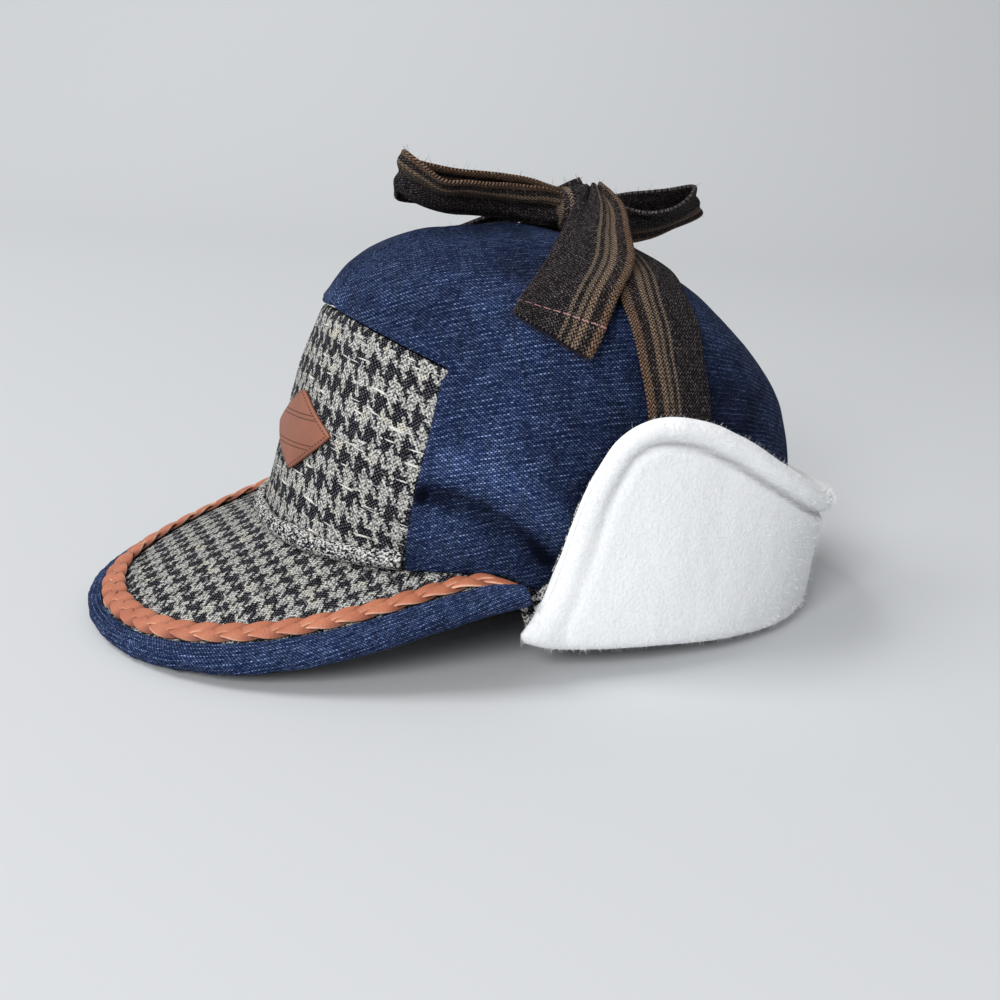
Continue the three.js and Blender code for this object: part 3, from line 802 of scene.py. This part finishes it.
def lace_finish():
    material, tree, shader = new_material("braid_leather", 0.5, 0.3)
    across = axis_of(tree, node(tree, "UVMap", uv_map="cloth"), 1)
    edge = ranged(tree, off_middle(tree, across), 0.4, 0.48, 0.0, 1.0)
    patchy = grain(tree, 90.0, 4.0)
    pores = grain(tree, 1300.0, 2.0)
    colour = mixed(tree, patchy, paint(146, 80, 58), paint(190, 122, 92))
    scuff = ranged(tree, patchy, 0.4, 0.6, 0.2, 1.0)
    colour = mixed(tree, times(tree, edge, scuff), colour, paint(226, 180, 154))
    # painted shade in dark red where each lace dips under the others
    under = node(tree, "Attribute", (), 2, attribute_name="under")
    colour = mixed(tree, times(tree, under, 0.8), colour, paint(84, 30, 20))
    finish(tree, shader, colour, calc(tree, "ADD", pores, times(tree, patchy, 0.6)), 0.00025)
    return material


lace_leather = lace_finish()
shares_at = [braid_share(i * braid_length / lace_steps) for i in range(lace_steps + 1)]


def braid_lace(k):
    """One of the laces: it swings from side to side of the braid, and goes over and under the others."""
    def phase_at(u):
        return 2 * math.pi * (u * braid_length / plait_length + k / laces)

    def place(u, v):
        share = shares_at[round(u * lace_steps)]
        middle, wide = braid_middle(share)
        narrowed = lace_wide * wide / braid_wide
        sway = (wide - narrowed) / 2
        phase = phase_at(u)
        turn = math.atan(sway * 2 * math.pi / plait_length * math.cos(phase))
        half = (v - 0.5) * narrowed
        aside = sway * math.sin(phase) + half * math.cos(turn)
        step = -half * math.sin(turn) / braid_length * 2
        height = 1.4 + 0.8 * math.sin(2 * phase) + 0.2 * (1 - (2 * v - 1) ** 2)
        tuck = min(1, min(u, 1 - u) * 60)
        share = min(max(share + step, -0.999), 0.999)
        outwards, back, rise = braid_end_shift
        shift = Vector((math.copysign(outwards, share), back, rise)) * ramp(abs(share), 0.93, 1) ** 1.5
        return in_place(visor_point(share, middle - aside, 0.2 + height * tuck) + shift)

    # painted shade: strongest where the lace runs lowest, under the others
    def painted_shade_under_at(point, u, v):
        return max(0, 0.3 - math.sin(2 * phase_at(u))) / 1.3

    lace = cloth_sheet(f"visor_braid_lace_{k + 1}", lace_steps, 4, place)
    mark_points(lace, "under", painted_shade_under_at)
    thicken(lace, lace_thick / 1000, 0)
    lace.data.materials.append(lace_leather)
    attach(lace, "root")
    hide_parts("visor_braid")


for k in range(laces):
    braid_lace(k)


# Patch: a diamond of tan leather on the panel, with plain lines pressed into it.
# It is cut from a thin skin, and a row of stitches runs round inside its edge.
patch_turn = 1.9
patch_row = 2.25
patch_thick = 0.0016
# turn and row from its middle to its right corner, and to its top corner
patch_right = (16.9, 0.17)
patch_top = (-2.1, 0.83)
stitches_a_side = 17.0


def patch_place(u, v):
    a, b = 2 * u - 1, 2 * v - 1
    pull = 1 - 0.05 * (abs(a) * abs(b)) ** 6
    a, b = a * pull, b * pull
    sideways, upwards = (a + b) / 2, (b - a) / 2
    turn = patch_turn + sideways * patch_right[0] + upwards * patch_top[0]
    row = patch_row + sideways * patch_right[1] + upwards * patch_top[1]
    rim = max(abs(a), abs(b))
    return in_place(crown_point(turn, row, 1.3 - 0.5 * max(0, rim - 0.9) / 0.1))


def patch_finish():
    material, tree, shader = new_material("patch_leather", 0.5, 0.3)
    spot = node(tree, "UVMap", uv_map="cloth")
    a, b = axis_of(tree, spot, 0), axis_of(tree, spot, 1)
    sideways = calc(tree, "ABSOLUTE", calc(tree, "SUBTRACT", calc(tree, "ADD", a, b), 1.0))
    upwards = calc(tree, "ABSOLUTE", calc(tree, "SUBTRACT", b, a))
    line_1 = calc(tree, "COMPARE", upwards, 0.29, 0.012)
    line_2 = calc(tree, "COMPARE", upwards, 0.39, 0.012)
    room = calc(tree, "LESS_THAN", calc(tree, "ADD", sideways, upwards), 0.86)
    lines = times(tree, calc(tree, "ADD", line_1, line_2), room)
    from_a, from_b = off_middle(tree, a), off_middle(tree, b)
    sewn_rows = []
    for run, side in ((a, from_b), (b, from_a)):
        dash = calc(tree, "LESS_THAN", calc(tree, "FRACT", times(tree, run, stitches_a_side)), 0.6)
        sewn_rows.append(times(tree, calc(tree, "COMPARE", side, 0.445, 0.009), dash))
    outermost = calc(tree, "MAXIMUM", from_a, from_b)
    inside = calc(tree, "LESS_THAN", outermost, 0.458)
    stitches = times(tree, calc(tree, "MAXIMUM", *sewn_rows), inside)
    colour = mixed(tree, grain(tree, 70.0, 5.0), paint(112, 68, 53), paint(148, 95, 75))
    pressed = calc(tree, "MAXIMUM", lines, stitches)
    colour = mixed(tree, times(tree, pressed, 0.8), colour, paint(62, 30, 22))
    edge = calc(tree, "GREATER_THAN", outermost, 0.493)
    colour = mixed(tree, times(tree, edge, 0.6), colour, paint(110, 58, 38))
    pores = times(tree, grain(tree, 1500.0, 2.0), 0.5)
    finish(tree, shader, colour, calc(tree, "SUBTRACT", pores, times(tree, pressed, 1.5)), 0.0002)
    return material


patch = cloth_sheet("patch_leather", 28, 28, patch_place)
thicken(patch, patch_thick, -1)
patch.data.materials.append(patch_finish())
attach(patch, "root")
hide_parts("patch")


# Flap: thick white fleece with a houndstooth backing, turned up round the sides and the back.
# Its outer edge is turned over by about 8 mm and sewn, so a soft rim stands round a sewn groove.
fleece_thick = 3.2
band_end_turn = 73
band_columns = 150
fleece_mesh_rows = 78
# the top edge's place along the section, and how far inside the edge the sewn line is, in mm
band_top = 10
sewn_from_edge = 10
# turn, then how far the fold and the top edge stand out from the crown's edge, and their heights, in mm
band_rows = [
    (73, 10.5, 11.5, 9.4, 23),
    (75, 11, 10.4, 8.6, 30),
    (77.5, 11, 9.6, 7.8, 46.5),
    (80.5, 11, 9, 8, 67),
    (85, 11, 8.4, 8.4, 84),
    (91, 11, 7.6, 8.4, 92),
    (99, 11, 6.4, 8.6, 91),
    (108, 11, 5, 9.8, 84.5),
    (120, 11, 3, 12.5, 72),
    (135, 11.5, 1, 15.5, 58),
    (150, 12.5, 0, 17.5, 49),
    (165, 12.5, 0, 18.5, 45),
    (180, 12.5, 0, 18.5, 44),
]


def band_frame(turn):
    """Section of the band at a turn, as distances out from the crown's edge and heights, in mm."""
    at = turn if turn <= 180 else 360 - turn
    i = max(k for k in range(len(band_rows) - 1) if band_rows[k][0] <= at or k == 0)
    place = i + (at - band_rows[i][0]) / (band_rows[i + 1][0] - band_rows[i][0])
    fold_out, fold_up, top_out, top_up = (along(band_rows, column, place) for column in range(1, 5))
    edge = crown_plain(turn, 0).z
    low = max(fold_up, 0) + fleece_thick / 2
    inside = -denim_thick * 1000 - fleece_thick / 2 - 0.9
    span = top_up - low
    section = [
        (inside, edge + 7),
        (inside, edge - 1),
        (inside + 0.4, low + 5),
        (inside + 2.4, low + 1.2),
        (inside + 6, low),
        (fold_out - 4.5, low),
        (fold_out - 1.2, low + 1.4),
        (fold_out, low + min(5, 0.25 * span)),
        (fold_out + 0.35 * (top_out - fold_out), low + 0.48 * span),
        (fold_out + 0.7 * (top_out - fold_out), low + 0.74 * span),
        (top_out, top_up),
    ]
    across = crown_plain(turn + 1, 0) - crown_plain(turn - 1, 0)
    out = across.cross(Vector((0, 0, 1)))
    out.z = 0
    return section, crown_plain(turn, 0), out.normalized()


def band_section_at(section, place):
    """Point of the section at a place, on a curve that stays even where its points stand unevenly."""
    i = min(int(place), len(section) - 2)
    t = place - i
    points = [Vector(section[min(max(i + k, 0), len(section) - 1)]) for k in (-1, 0, 1, 2)]
    before, here, after, beyond = points
    span = math.sqrt((after - here).length)
    start = math.sqrt((here - before).length) or span
    end = math.sqrt((beyond - after).length) or span
    step = after - here
    leave = step
    arrive = step
    if i > 0:
        leave = step + span * ((here - before) / start - (after - before) / (start + span))
    if i < len(section) - 2:
        arrive = step + span * ((beyond - after) / end - (beyond - here) / (span + end))
    bend = 3 * step - 2 * leave - arrive
    twist = leave + arrive - 2 * step
    return here + leave * t + bend * t * t + twist * t * t * t


def band_spot(framed, place, lift):
    section, edge, out = framed
    spot = band_section_at(section, place)
    ahead_of = band_section_at(section, min(place + 0.05, band_top))
    run = ahead_of - band_section_at(section, max(place - 0.05, 0))
    run.normalize()
    point = edge + out * (spot.x + lift * run.y)
    point.z = max(spot.y - lift * run.x, 0.05)
    return point


def band_turn(u):
    return band_end_turn + (360 - 2 * band_end_turn) * (u - 0.09 * math.sin(2 * math.pi * u))


band_frames = [band_frame(band_turn(i / band_columns)) for i in range(band_columns + 1)]
band_edges = [edge for section, edge, out in band_frames]
band_length = sum((after - before).length for before, after in zip(band_edges, band_edges[1:])) / 1000
border = [band_spot(framed, band_top, 0) for framed in band_frames]
for framed in (band_frames[0], band_frames[-1]):
    border += [band_spot(framed, 6 + i * 0.1, 0) for i in range(40)]
band_border = tree_of(border)


def band_lump(spot):
    return 0.7 * noise.noise(spot * 0.045) + 0.35 * noise.noise(spot * 0.14)


def band_forward(u):
    """Level direction that runs on past the band's nearer end, along the crown's edge."""
    forward = band_edges[0] - band_edges[4] if u < 0.5 else band_edges[-1] - band_edges[-5]
    forward.z = 0
    return forward.normalized()


def fleece_rim(u, v):
    """Column and place in the band, distance from its edge in mm, and how much the rim is rolled there."""
    column = round(u * band_columns)
    place = band_top * (1 - (1 - v) ** 1.5)
    away = band_border.find(band_spot(band_frames[column], place, 0))[2]
    return column, place, away, ramp(abs(2 * u - 1), 0.82, 0.62)


def sewn_dip(place, away, rolled):
    """Depth of the sewn groove: faint in front, and deep under the roll at the back."""
    line = hump(away - sewn_from_edge, 2.4 - 1.2 * rolled)
    return (0.6 + 2.4 * rolled) * line * ramp(place, 5.5, 6.5)


def fleece_place(u, v):
    column, place, away, rolled = fleece_rim(u, v)
    framed = band_frames[column]
    top = ramp(place, 5.5, 6.5)
    lift = fleece_thick / 2 - sewn_dip(place, away, rolled)
    lift += (0.5 + 2 * rolled) * hump(away - 4.6, 3.6) * top
    lift -= 1.1 * hump(away, 1.1) * top
    lift += 0.55 * band_lump(band_spot(framed, place, 0)) * min(1, v * 3)
    point = band_spot(framed, place, lift)
    # its lower front corner is rounded off and turned outwards, and its inner part stays further back
    to_end = min(column, band_columns - column)
    if to_end < 12:
        forward = band_forward(u)
        lip = max(0, 1 - to_end / 7) ** 2
        point += (forward * 5.5 + framed[2] * 2) * lip * hump(place - 6.6, 1.9)
        point.z += lip * (1.5 + 1.5 * ramp(place, 6, 8))
        point -= forward * 9 * (1 - to_end / 12) * ramp(place, 5, 3)
    return in_place(point)


def painted_groove_shade_at(point, u, v):
    """How strongly painted shade darkens the fleece in the sewn groove at a point, most under the rolled
    rim at the back.
    """
    column, place, away, rolled = fleece_rim(u, v)
    return (0.2 + 0.8 * rolled) * hump(away - sewn_from_edge, 1.1) if place > 6 else 0


def fleece_finish():
    material, tree, shader = new_material("white_fleece", 1.0)
    shader.inputs["Subsurface Weight"].default_value = 0.12
    shader.inputs["Subsurface Radius"].default_value = (0.004, 0.004, 0.004)
    shader.inputs["Subsurface Scale"].default_value = 0.5
    tufts = grain(tree, 800.0, 3.0)
    clouds = grain(tree, 60.0, 3.0)
    colour = mixed(tree, tufts, paint(224, 226, 229), paint(247, 248, 249))
    specks = node(tree, "TexVoronoi", {"Vector": node(tree, "TexCoord", (), 3), "Scale": 55.0}, 0)
    speck = times(tree, calc(tree, "LESS_THAN", specks, 0.026), 0.75)
    colour = mixed(tree, speck, colour, paint(96, 100, 106))
    # painted shade in the sewn groove, in grey
    sewn = node(tree, "Attribute", (), 2, attribute_name="sewn")
    colour = mixed(tree, times(tree, sewn, 0.6), colour, paint(120, 120, 124))
    height = calc(tree, "ADD", times(tree, tufts, 0.6), times(tree, clouds, 1.6))
    finish(tree, shader, colour, height, 0.0006)
    return material


fleece = cloth_sheet("flap_fleece_cloth", band_columns, fleece_mesh_rows, fleece_place)
mark_points(fleece, "sewn", painted_groove_shade_at)
thicken(fleece, fleece_thick / 1000, -1)
fleece.data.materials.append(fleece_finish())
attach(fleece, "root")
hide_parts("flap_fleece")


# Nap: loose fibres that stand up from the fleece, most of all along its rim.
# Each is one thin square hair, drawn out of its own face.
nap_fibres = 9000
nap_thick = 0.00008


def fibres(name, starts, ways, thick):
    """Hairs that start at points, in metres, and run along vectors; none goes under the table."""
    shape = bmesh.new()
    bmesh.ops.create_grid(shape, x_segments=len(starts), y_segments=1, size=0.5)
    bmesh.ops.split_edges(shape, edges=shape.edges)
    roots = list(shape.faces)
    for face, start, way in zip(roots, starts, ways):
        aside = way.orthogonal().normalized()
        across = way.normalized().cross(aside)
        for corner, (a, b) in zip(face.verts, ((-1, -1), (1, -1), (1, 1), (-1, 1))):
            corner.co = start + (aside * a + across * b) * thick / 2
    drawn = bmesh.ops.extrude_discrete_faces(shape, faces=roots)["faces"]
    for face, way in zip(drawn, ways):
        middle = face.calc_center_median()
        for corner in face.verts:
            corner.co = middle + (corner.co - middle) * 0.25 + way
            corner.co.z = max(corner.co.z, 0.0001)
    return new_piece(name, shape)


def random_lean():
    return Vector([random.uniform(-1, 1) for axis in range(3)])


random.seed(4)
starts, ways = [], []
for i in range(nap_fibres):
    place = random.uniform(9.2, 9.99) if random.random() < 0.35 else random.uniform(5.8, 9.99)
    v = 1 - (1 - place / band_top) ** (2 / 3)
    column = random.randrange(0, band_columns)
    share = random.random()
    start = fleece_place(column / band_columns, v).lerp(fleece_place((column + 1) / band_columns, v), share)
    framed = band_frames[column]
    out = (band_spot(framed, place, 3) - band_spot(framed, place, 1.2)).normalized()
    if place > 9.8:
        out = (out * 0.4 + Vector((0, 0, 1))).normalized()
    out = (out + random_lean() * 0.7).normalized()
    starts.append(start - out * 0.0004)
    ways.append(out * random.uniform(0.0012, 0.0026))
nap = fibres("flap_fleece_nap", starts, ways, nap_thick)
white_fibre, tree, shader = new_material("white_fibre", 1.0)
shader.inputs["Base Color"].default_value = paint(250, 250, 251)
shader.inputs["Subsurface Weight"].default_value = 0.3
shader.inputs["Subsurface Radius"].default_value = (0.003, 0.003, 0.003)
nap.data.materials.append(white_fibre)
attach(nap, "root")


# Backing: thin houndstooth behind the fleece, which shows at the flap's front corners and inside it.
# It is sewn in with the rim, so it follows the sewn groove.
backing_thick = 1
backing_mesh_rows = 54


def backing_place(u, v):
    column, place, away, rolled = fleece_rim(u, 0.035 + 0.9 * v)
    lift = -fleece_thick / 2 - 1.3 - sewn_dip(place, away, rolled) + 0.4 * ramp(place, 1.3, 0.8)
    point = band_spot(band_frames[column], place, lift)
    to_end = min(column, band_columns - column)
    if to_end < 8:
        rise = ramp(place, 6.5, 8.5)
        point += (band_forward(u) * 5 + Vector((0, 0, 6))) * rise * (1 - to_end / 8) ** 2
    return in_place(point)


backing = cloth_sheet("flap_backing_cloth", band_columns, backing_mesh_rows, backing_place)
thicken(backing, backing_thick / 1000, 1)
lay_flat(backing, in_place(band_spot(band_frames[10], 8, 0)), in_place(band_spot(band_frames[30], 8, 0)))
backing.data.materials.append(houndstooth_finish("backing_houndstooth", 0.00104, 0.00112, 0.4))
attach(backing, "root")
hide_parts("flap_backing")


# Ties: flat wool tape, woven with three brown stripes beside one edge.
# Each is sewn in behind the flap, and is laid up over the crown to the bow.
tape_wide = 0.034
tape_thick = 0.0018
# front edge's turn and row, back edge's turn and row, and height over the crown in mm
tie_rows = [
    (91.9, 2.5, 107.5, 2.45, 0.6),
    (91.9, 3.2, 107.8, 3.05, 0.6),
    (92.2, 4.4, 112.7, 4.2, 0.8),
    (93.2, 5.5, 126, 5.6, 1.2),
    (98, 6.4, 146, 6.4, 1.3),
    (112, 7.3, 162, 6.9, 1.4),
    (138, 8, 167, 7.4, 2.2),
]
# share of the tape's width from its striped edge, and the colour there
tape_stripes = [
    (0.0, (116, 88, 68)),
    (0.09, (124, 98, 78)),
    (0.11, (44, 36, 34)),
    (0.2, (46, 38, 36)),
    (0.22, (138, 116, 95)),
    (0.275, (134, 112, 92)),
    (0.29, (58, 48, 44)),
    (0.305, (60, 50, 46)),
    (0.32, (128, 110, 92)),
    (0.355, (122, 105, 88)),
    (0.37, (42, 36, 35)),
    (0.41, (42, 36, 35)),
    (0.425, (128, 112, 96)),
    (0.45, (128, 112, 96)),
    (0.465, (40, 36, 39)),
    (1.0, (40, 35, 39)),
]


def tape_finish():
    """Slanted wool stitches in two columns to a rib, over the stripes, with a thread along each hem."""
    rib_pitch = 0.0016
    stitch_pitch = 0.00145
    material, tree, shader = new_material("wool_tape", 0.95)
    spot = node(tree, "UVMap", uv_map="cloth")
    run, across = axis_of(tree, spot, 0), axis_of(tree, spot, 1)
    share = calc(tree, "DIVIDE", across, tape_wide)
    stripes = tree.nodes.new("ShaderNodeValToRGB")
    tree.links.new(share, stripes.inputs[0])
    for i, (place, shade) in enumerate(tape_stripes):
        stop = stripes.color_ramp.elements[i] if i < 2 else stripes.color_ramp.elements.new(place)
        stop.position = place
        stop.color = paint(*shade)
    sway = swing(tree, stretched(tree, spot, (500, 500, 1)), 0.0011)
    column = calc(tree, "DIVIDE", calc(tree, "ADD", across, sway), rib_pitch)
    slant = off_middle(tree, calc(tree, "FRACT", column))
    along_run = calc(tree, "DIVIDE", calc(tree, "ADD", run, sway), stitch_pitch)
    knit = calc(tree, "MULTIPLY_ADD", slant, 1.6, along_run)
    stitch = calc(tree, "SINE", times(tree, calc(tree, "FRACT", knit), math.pi))
    stitch = ranged(tree, stitch, 0.35, 0.95, 0.0, 1.0)
    half_rib = calc(tree, "FLOOR", times(tree, column, 2.0))
    cell = node(tree, "CombineXYZ", [half_rib, calc(tree, "FLOOR", knit), 0.0])
    chance = node(tree, "TexWhiteNoise", {"Vector": cell}, 0, noise_dimensions="2D")
    fuzz = stretched(tree, spot, (1500, 1500, 1), 3.0)
    light = times(tree, stitch, calc(tree, "MULTIPLY_ADD", chance, 0.6, 0.4))
    gap = ranged(tree, light, 0.05, 0.5, 0.92, 0.0)
    colour = mixed(tree, gap, stripes.outputs[0], paint(9, 8, 11))
    fleck = times(tree, ranged(tree, light, 0.4, 0.95, 0.0, 0.5), ranged(tree, fuzz, 0.42, 0.6, 0.0, 1.0))
    colour = mixed(tree, fleck, colour, paint(170, 160, 156))
    loop_at = off_middle(tree, calc(tree, "FRACT", calc(tree, "DIVIDE", run, 0.0026)))
    at_edge = calc(tree, "GREATER_THAN", share, 0.986)
    selvedge = times(tree, at_edge, calc(tree, "LESS_THAN", loop_at, 0.3), 0.2)
    colour = mixed(tree, selvedge, colour, paint(140, 132, 128))
    # a pink thread holds the hem of each cut end
    from_end = node(tree, "Attribute", (), 2, attribute_name="from_end")
    hem = calc(tree, "COMPARE", calc(tree, "ADD", from_end, sway), 0.0088, 0.00032)
    hem_stitch = calc(tree, "LESS_THAN", calc(tree, "FRACT", calc(tree, "DIVIDE", across, 0.0036)), 0.72)
    colour = mixed(tree, times(tree, hem, hem_stitch, 0.85), colour, paint(190, 140, 142))
    finish(tree, shader, colour, calc(tree, "ADD", light, times(tree, fuzz, 0.8)), 0.0006)
    return material


wool_tape = tape_finish()


def tape_piece(name, place, steps, across, node_name):
    """A length of tape, its map in metres: u along it and v across it from its striped edge."""
    piece = cloth_sheet(name, steps, across, place)
    run = [0]
    for i in range(steps):
        run.append(run[-1] + (place((i + 1) / steps, 0.5) - place(i / steps, 0.5)).length)
    for corner in piece.data.uv_layers["cloth"].data:
        u, v = corner.uv
        corner.uv = (run[round(u * steps)], v * tape_wide)
    thicken(piece, tape_thick, 0)
    piece.data.materials.append(wool_tape)
    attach(piece, "root")
    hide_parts(node_name)
    return piece


def tie_route(sign):
    def place(u, v):
        at = u * (len(tie_rows) - 1)
        here = [along(tie_rows, column, at) for column in range(5)]
        front_turn, front_row, back_turn, back_row, lift = here
        turn = sign * (front_turn + (back_turn - front_turn) * v)
        row = front_row + (back_row - front_row) * v
        lift += 0.9 + 0.5 * noise.noise(crown_plain(turn, row) * 0.07) + 0.5 * math.sin(math.pi * v)
        return in_place(crown_point(turn, row, lift))

    return place


for sign, node_name in ((1, "tie_left"), (-1, "tie_right")):
    tape_piece(node_name + "_tape", tie_route(sign), 64, 12, node_name)


# Bow: the two ties meet on top in a knot with two flattened loops, and both cut ends hang down.
# The tape is pinched where it runs into the knot, and its ends are hemmed and frayed.
# middle of the tape, the direction across it, its width and how far it cups, in mm
front_loop_rows = [
    (2, 10, 151.5, 0.2, 0, 0.98, 13, 0),
    (3, 2.9, 152.4, 0.2, 0, 0.98, 13.9, 1),
    (3, -6.5, 153.3, 0.52, -0.33, 0.79, 19.3, 1),
    (2.5, -19.2, 154.4, 0.71, -0.35, 0.61, 23.9, 1),
    (2.5, -31.3, 155.4, 0.76, -0.34, 0.56, 25.1, 1.5),
    (2.5, -42.1, 156.3, 0.76, -0.35, 0.55, 25.1, 1),
    (1.5, -52.5, 160.9, 0.74, -0.17, 0.66, 23.1, 0.5),
    (-4.5, -56.9, 164.8, 0.66, -0.18, 0.73, 22.8, 0),
    (-13.5, -50.9, 161.2, 0.76, 0, 0.65, 26, 0),
    (-14.7, -38.9, 159.2, 0.8, 0, 0.6, 26, 0.5),
    (-13.9, -24.8, 158.5, 0.8, 0, 0.6, 25, 1),
    (-11.7, -8.7, 156.6, 0.7, 0, 0.72, 22, 1),
    (-5.8, 5.4, 156, 0.55, 0, 0.84, 13, 1),
    (-2, 13.5, 154.6, 0.4, 0, 0.9, 11, 0),
]
back_loop_rows = [
    (2, 22, 149, 0.2, -0.1, 0.97, 13, 0),
    (2.5, 29.4, 147.6, 0.2, -0.24, 0.95, 14.9, 0),
    (1, 41.9, 146.5, 0.67, -0.42, 0.62, 21, 0),
    (1, 52.1, 147.9, 0.78, -0.45, 0.43, 25.5, 0),
    (0, 61.1, 150.7, 0.76, -0.54, 0.35, 28.8, 0),
    (-3.5, 69.4, 154.8, 0.69, -0.6, 0.4, 27.5, 0),
    (-14, 71, 154.2, 0.79, -0.3, 0.54, 27, 0),
    (-15.7, 59.1, 150.4, 0.72, 0, 0.7, 27, 0),
    (-14.9, 45.2, 150.1, 0.72, 0, 0.7, 23, 0),
    (-8.5, 32.3, 150.9, 0.55, 0, 0.84, 13, 0),
    (-3, 22, 151.5, 0.4, 0, 0.9, 11, 0),
]
tail_rows = [
    (6.5, 17.8, 161, 0.55, 0.79, 0.27, 5.5, 0),
    (13.5, 15.3, 157.1, 0.37, 0.91, 0.19, 13.7, 1),
    (23, 11.5, 152.5, 0.38, 0.91, 0.15, 21.2, 1.5),
    (36, 4.1, 146.1, 0.3, 0.95, 0.12, 26.8, 1.5),
    (51, -5.3, 138.2, 0.17, 0.98, 0.08, 34.5, 1),
    (64, -17.8, 129.7, 0.3, 0.95, -0.06, 32.8, 1),
    (73, -29, 117.3, 0.45, 0.77, -0.46, 31.2, 0.5),
]


tail_hem = 0.095


def bow_place(rows, sign=1, flip=False):
    """Route of a loop or a tail; flip lays the striped edge on its other side."""
    last = len(rows) - 1

    def place(u, v):
        at = u * last
        middle = Vector([along(rows, column, at) for column in range(3)])
        before = Vector([along(rows, column, max(at - 0.05, 0)) for column in range(3)])
        run = Vector([along(rows, column, min(at + 0.05, last)) for column in range(3)]) - before
        across = Vector([along(rows, column, at) for column in range(3, 6)]).normalized()
        out = run.cross(across).normalized()
        half = (0.5 - v) if flip else (v - 0.5)
        wide = along(rows, 6, at)
        pleat = (1 - wide / (tape_wide * 1000)) * 2.6 * math.cos(half * 14)
        wave = 0.6 * noise.noise(middle * 0.08 + across * half * 2)
        point = middle + across * half * wide
        point += out * (along(rows, 7, at) * (1 - 4 * half * half) + pleat + wave)
        point.x *= sign
        return in_place(point)

    return place


def bow_tail(sign, node_name):
    """One cut end, hemmed across, and the frayed threads along it."""
    place = bow_place(tail_rows, sign, flip=True)
    end = [place(1, i / 20) for i in range(21)]
    length = sum((place((i + 1) / 48, 0.5) - place(i / 48, 0.5)).length for i in range(48))

    def hemmed_place(u, v):
        # the last 9 mm are turned under, so they stand a little thicker
        return place(u, v) + Vector((sign * 0.0011, 0, 0.0004)) * ramp(u, 1 - tail_hem, 1.02 - tail_hem)

    tail = tape_piece(node_name + "_tape", hemmed_place, 64, 14, node_name)
    mark_points(tail, "from_end", lambda point, u, v: length - u)
    for i in range(420):
        at = random.random()
        k = min(int(at * 20), 19)
        inward = place(0.95, at) - place(1, at)
        start = end[k].lerp(end[k + 1], at * 20 - k) + inward.normalized() * random.uniform(0, 0.0015)
        way = (random_lean() - inward.normalized() * 0.8).normalized()
        starts.append(start)
        ways.append(way * random.uniform(0.0009, 0.0028))


tape_piece("bow_loop_front_tape", bow_place(front_loop_rows, flip=True), 80, 12, "bow_loop_front")
tape_piece("bow_loop_back_tape", bow_place(back_loop_rows), 64, 12, "bow_loop_back")
starts, ways = [], []
bow_tail(1, "tail_left")
bow_tail(-1, "tail_right")
for rows, sign in ((front_loop_rows, 1), (back_loop_rows, 1), (tail_rows, 1), (tail_rows, -1)):
    place = bow_place(rows, sign)
    for i in range(170):
        u, v = random.random(), random.choice((0, 1, random.random()))
        lean = random_lean()
        starts.append(place(u, v))
        ways.append((lean.normalized() + Vector((0, 0, 0.5))) * random.uniform(0.0015, 0.0032))
stray = fibres("bow_stray_fibres", starts, ways, 0.00007)
dark_fibre, tree, shader = new_material("dark_fibre", 1.0)
shader.inputs["Base Color"].default_value = paint(58, 48, 46)
stray.data.materials.append(dark_fibre)
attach(stray, "root")


# Knot: the tape pulled round itself in a tight lump where the loops and the tails meet.
# Its pleats run across it.
knot_size = Vector((8.6, 12.2, 9.4))
knot_middle = Vector((0.8, 15.4, 152))
shape = bmesh.new()
bmesh.ops.create_uvsphere(shape, u_segments=72, v_segments=40, radius=1)
cloth = shape.loops.layers.uv.new("cloth")
for face in shape.faces:
    face.smooth = True
    for corner in face.loops:
        side = corner.vert.co
        corner[cloth].uv = (math.atan2(side.z, side.x) * 0.009, 0.021 + 0.011 * side.y)
for point in shape.verts:
    side = point.co.copy()
    pleat = 0.5 * math.sin(side.y * 9 + 1.5 * noise.noise(side * 1.5)) + 0.9 * noise.noise(side * 1.8)
    point.co = in_place(knot_middle + side * pleat + Vector([a * b for a, b in zip(side, knot_size)]))
knot = new_piece("bow_knot_tape", shape)
knot.data.materials.append(wool_tape)
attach(knot, "root")
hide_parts("bow_knot")


# Table: a plain sweep of pale paper that the cap rests on.
# It bends up into a wall behind the cap, so no edge shows between the two.
sweep_near = 6
sweep_flat = 1.1
sweep_bend = 1.6
sweep_wide = 7
sweep_long = 9.6


def sweep_place(u, v):
    away = Vector((-0.91, 0.414, 0))
    aside = Vector((0.414, 0.91, 0))
    past_flat = sweep_long * v - sweep_near - sweep_flat
    angle = past_flat / sweep_bend
    if past_flat < 0:
        forward, height = sweep_flat + past_flat, 0
    elif angle < math.pi / 2:
        forward, height = sweep_flat + sweep_bend * math.sin(angle), sweep_bend * (1 - math.cos(angle))
    else:
        forward, height = sweep_flat + sweep_bend, sweep_bend + past_flat - sweep_bend * math.pi / 2
    return away * forward + aside * (u - 0.5) * sweep_wide + Vector((0, 0, height - 0.0003))


sweep = cloth_sheet("table_sweep", 8, 120, sweep_place)
pale_paper, tree, shader = new_material("pale_paper", 0.9)
shader.inputs["Base Color"].default_value = paint(201, 203, 205)
sweep.data.materials.append(pale_paper)
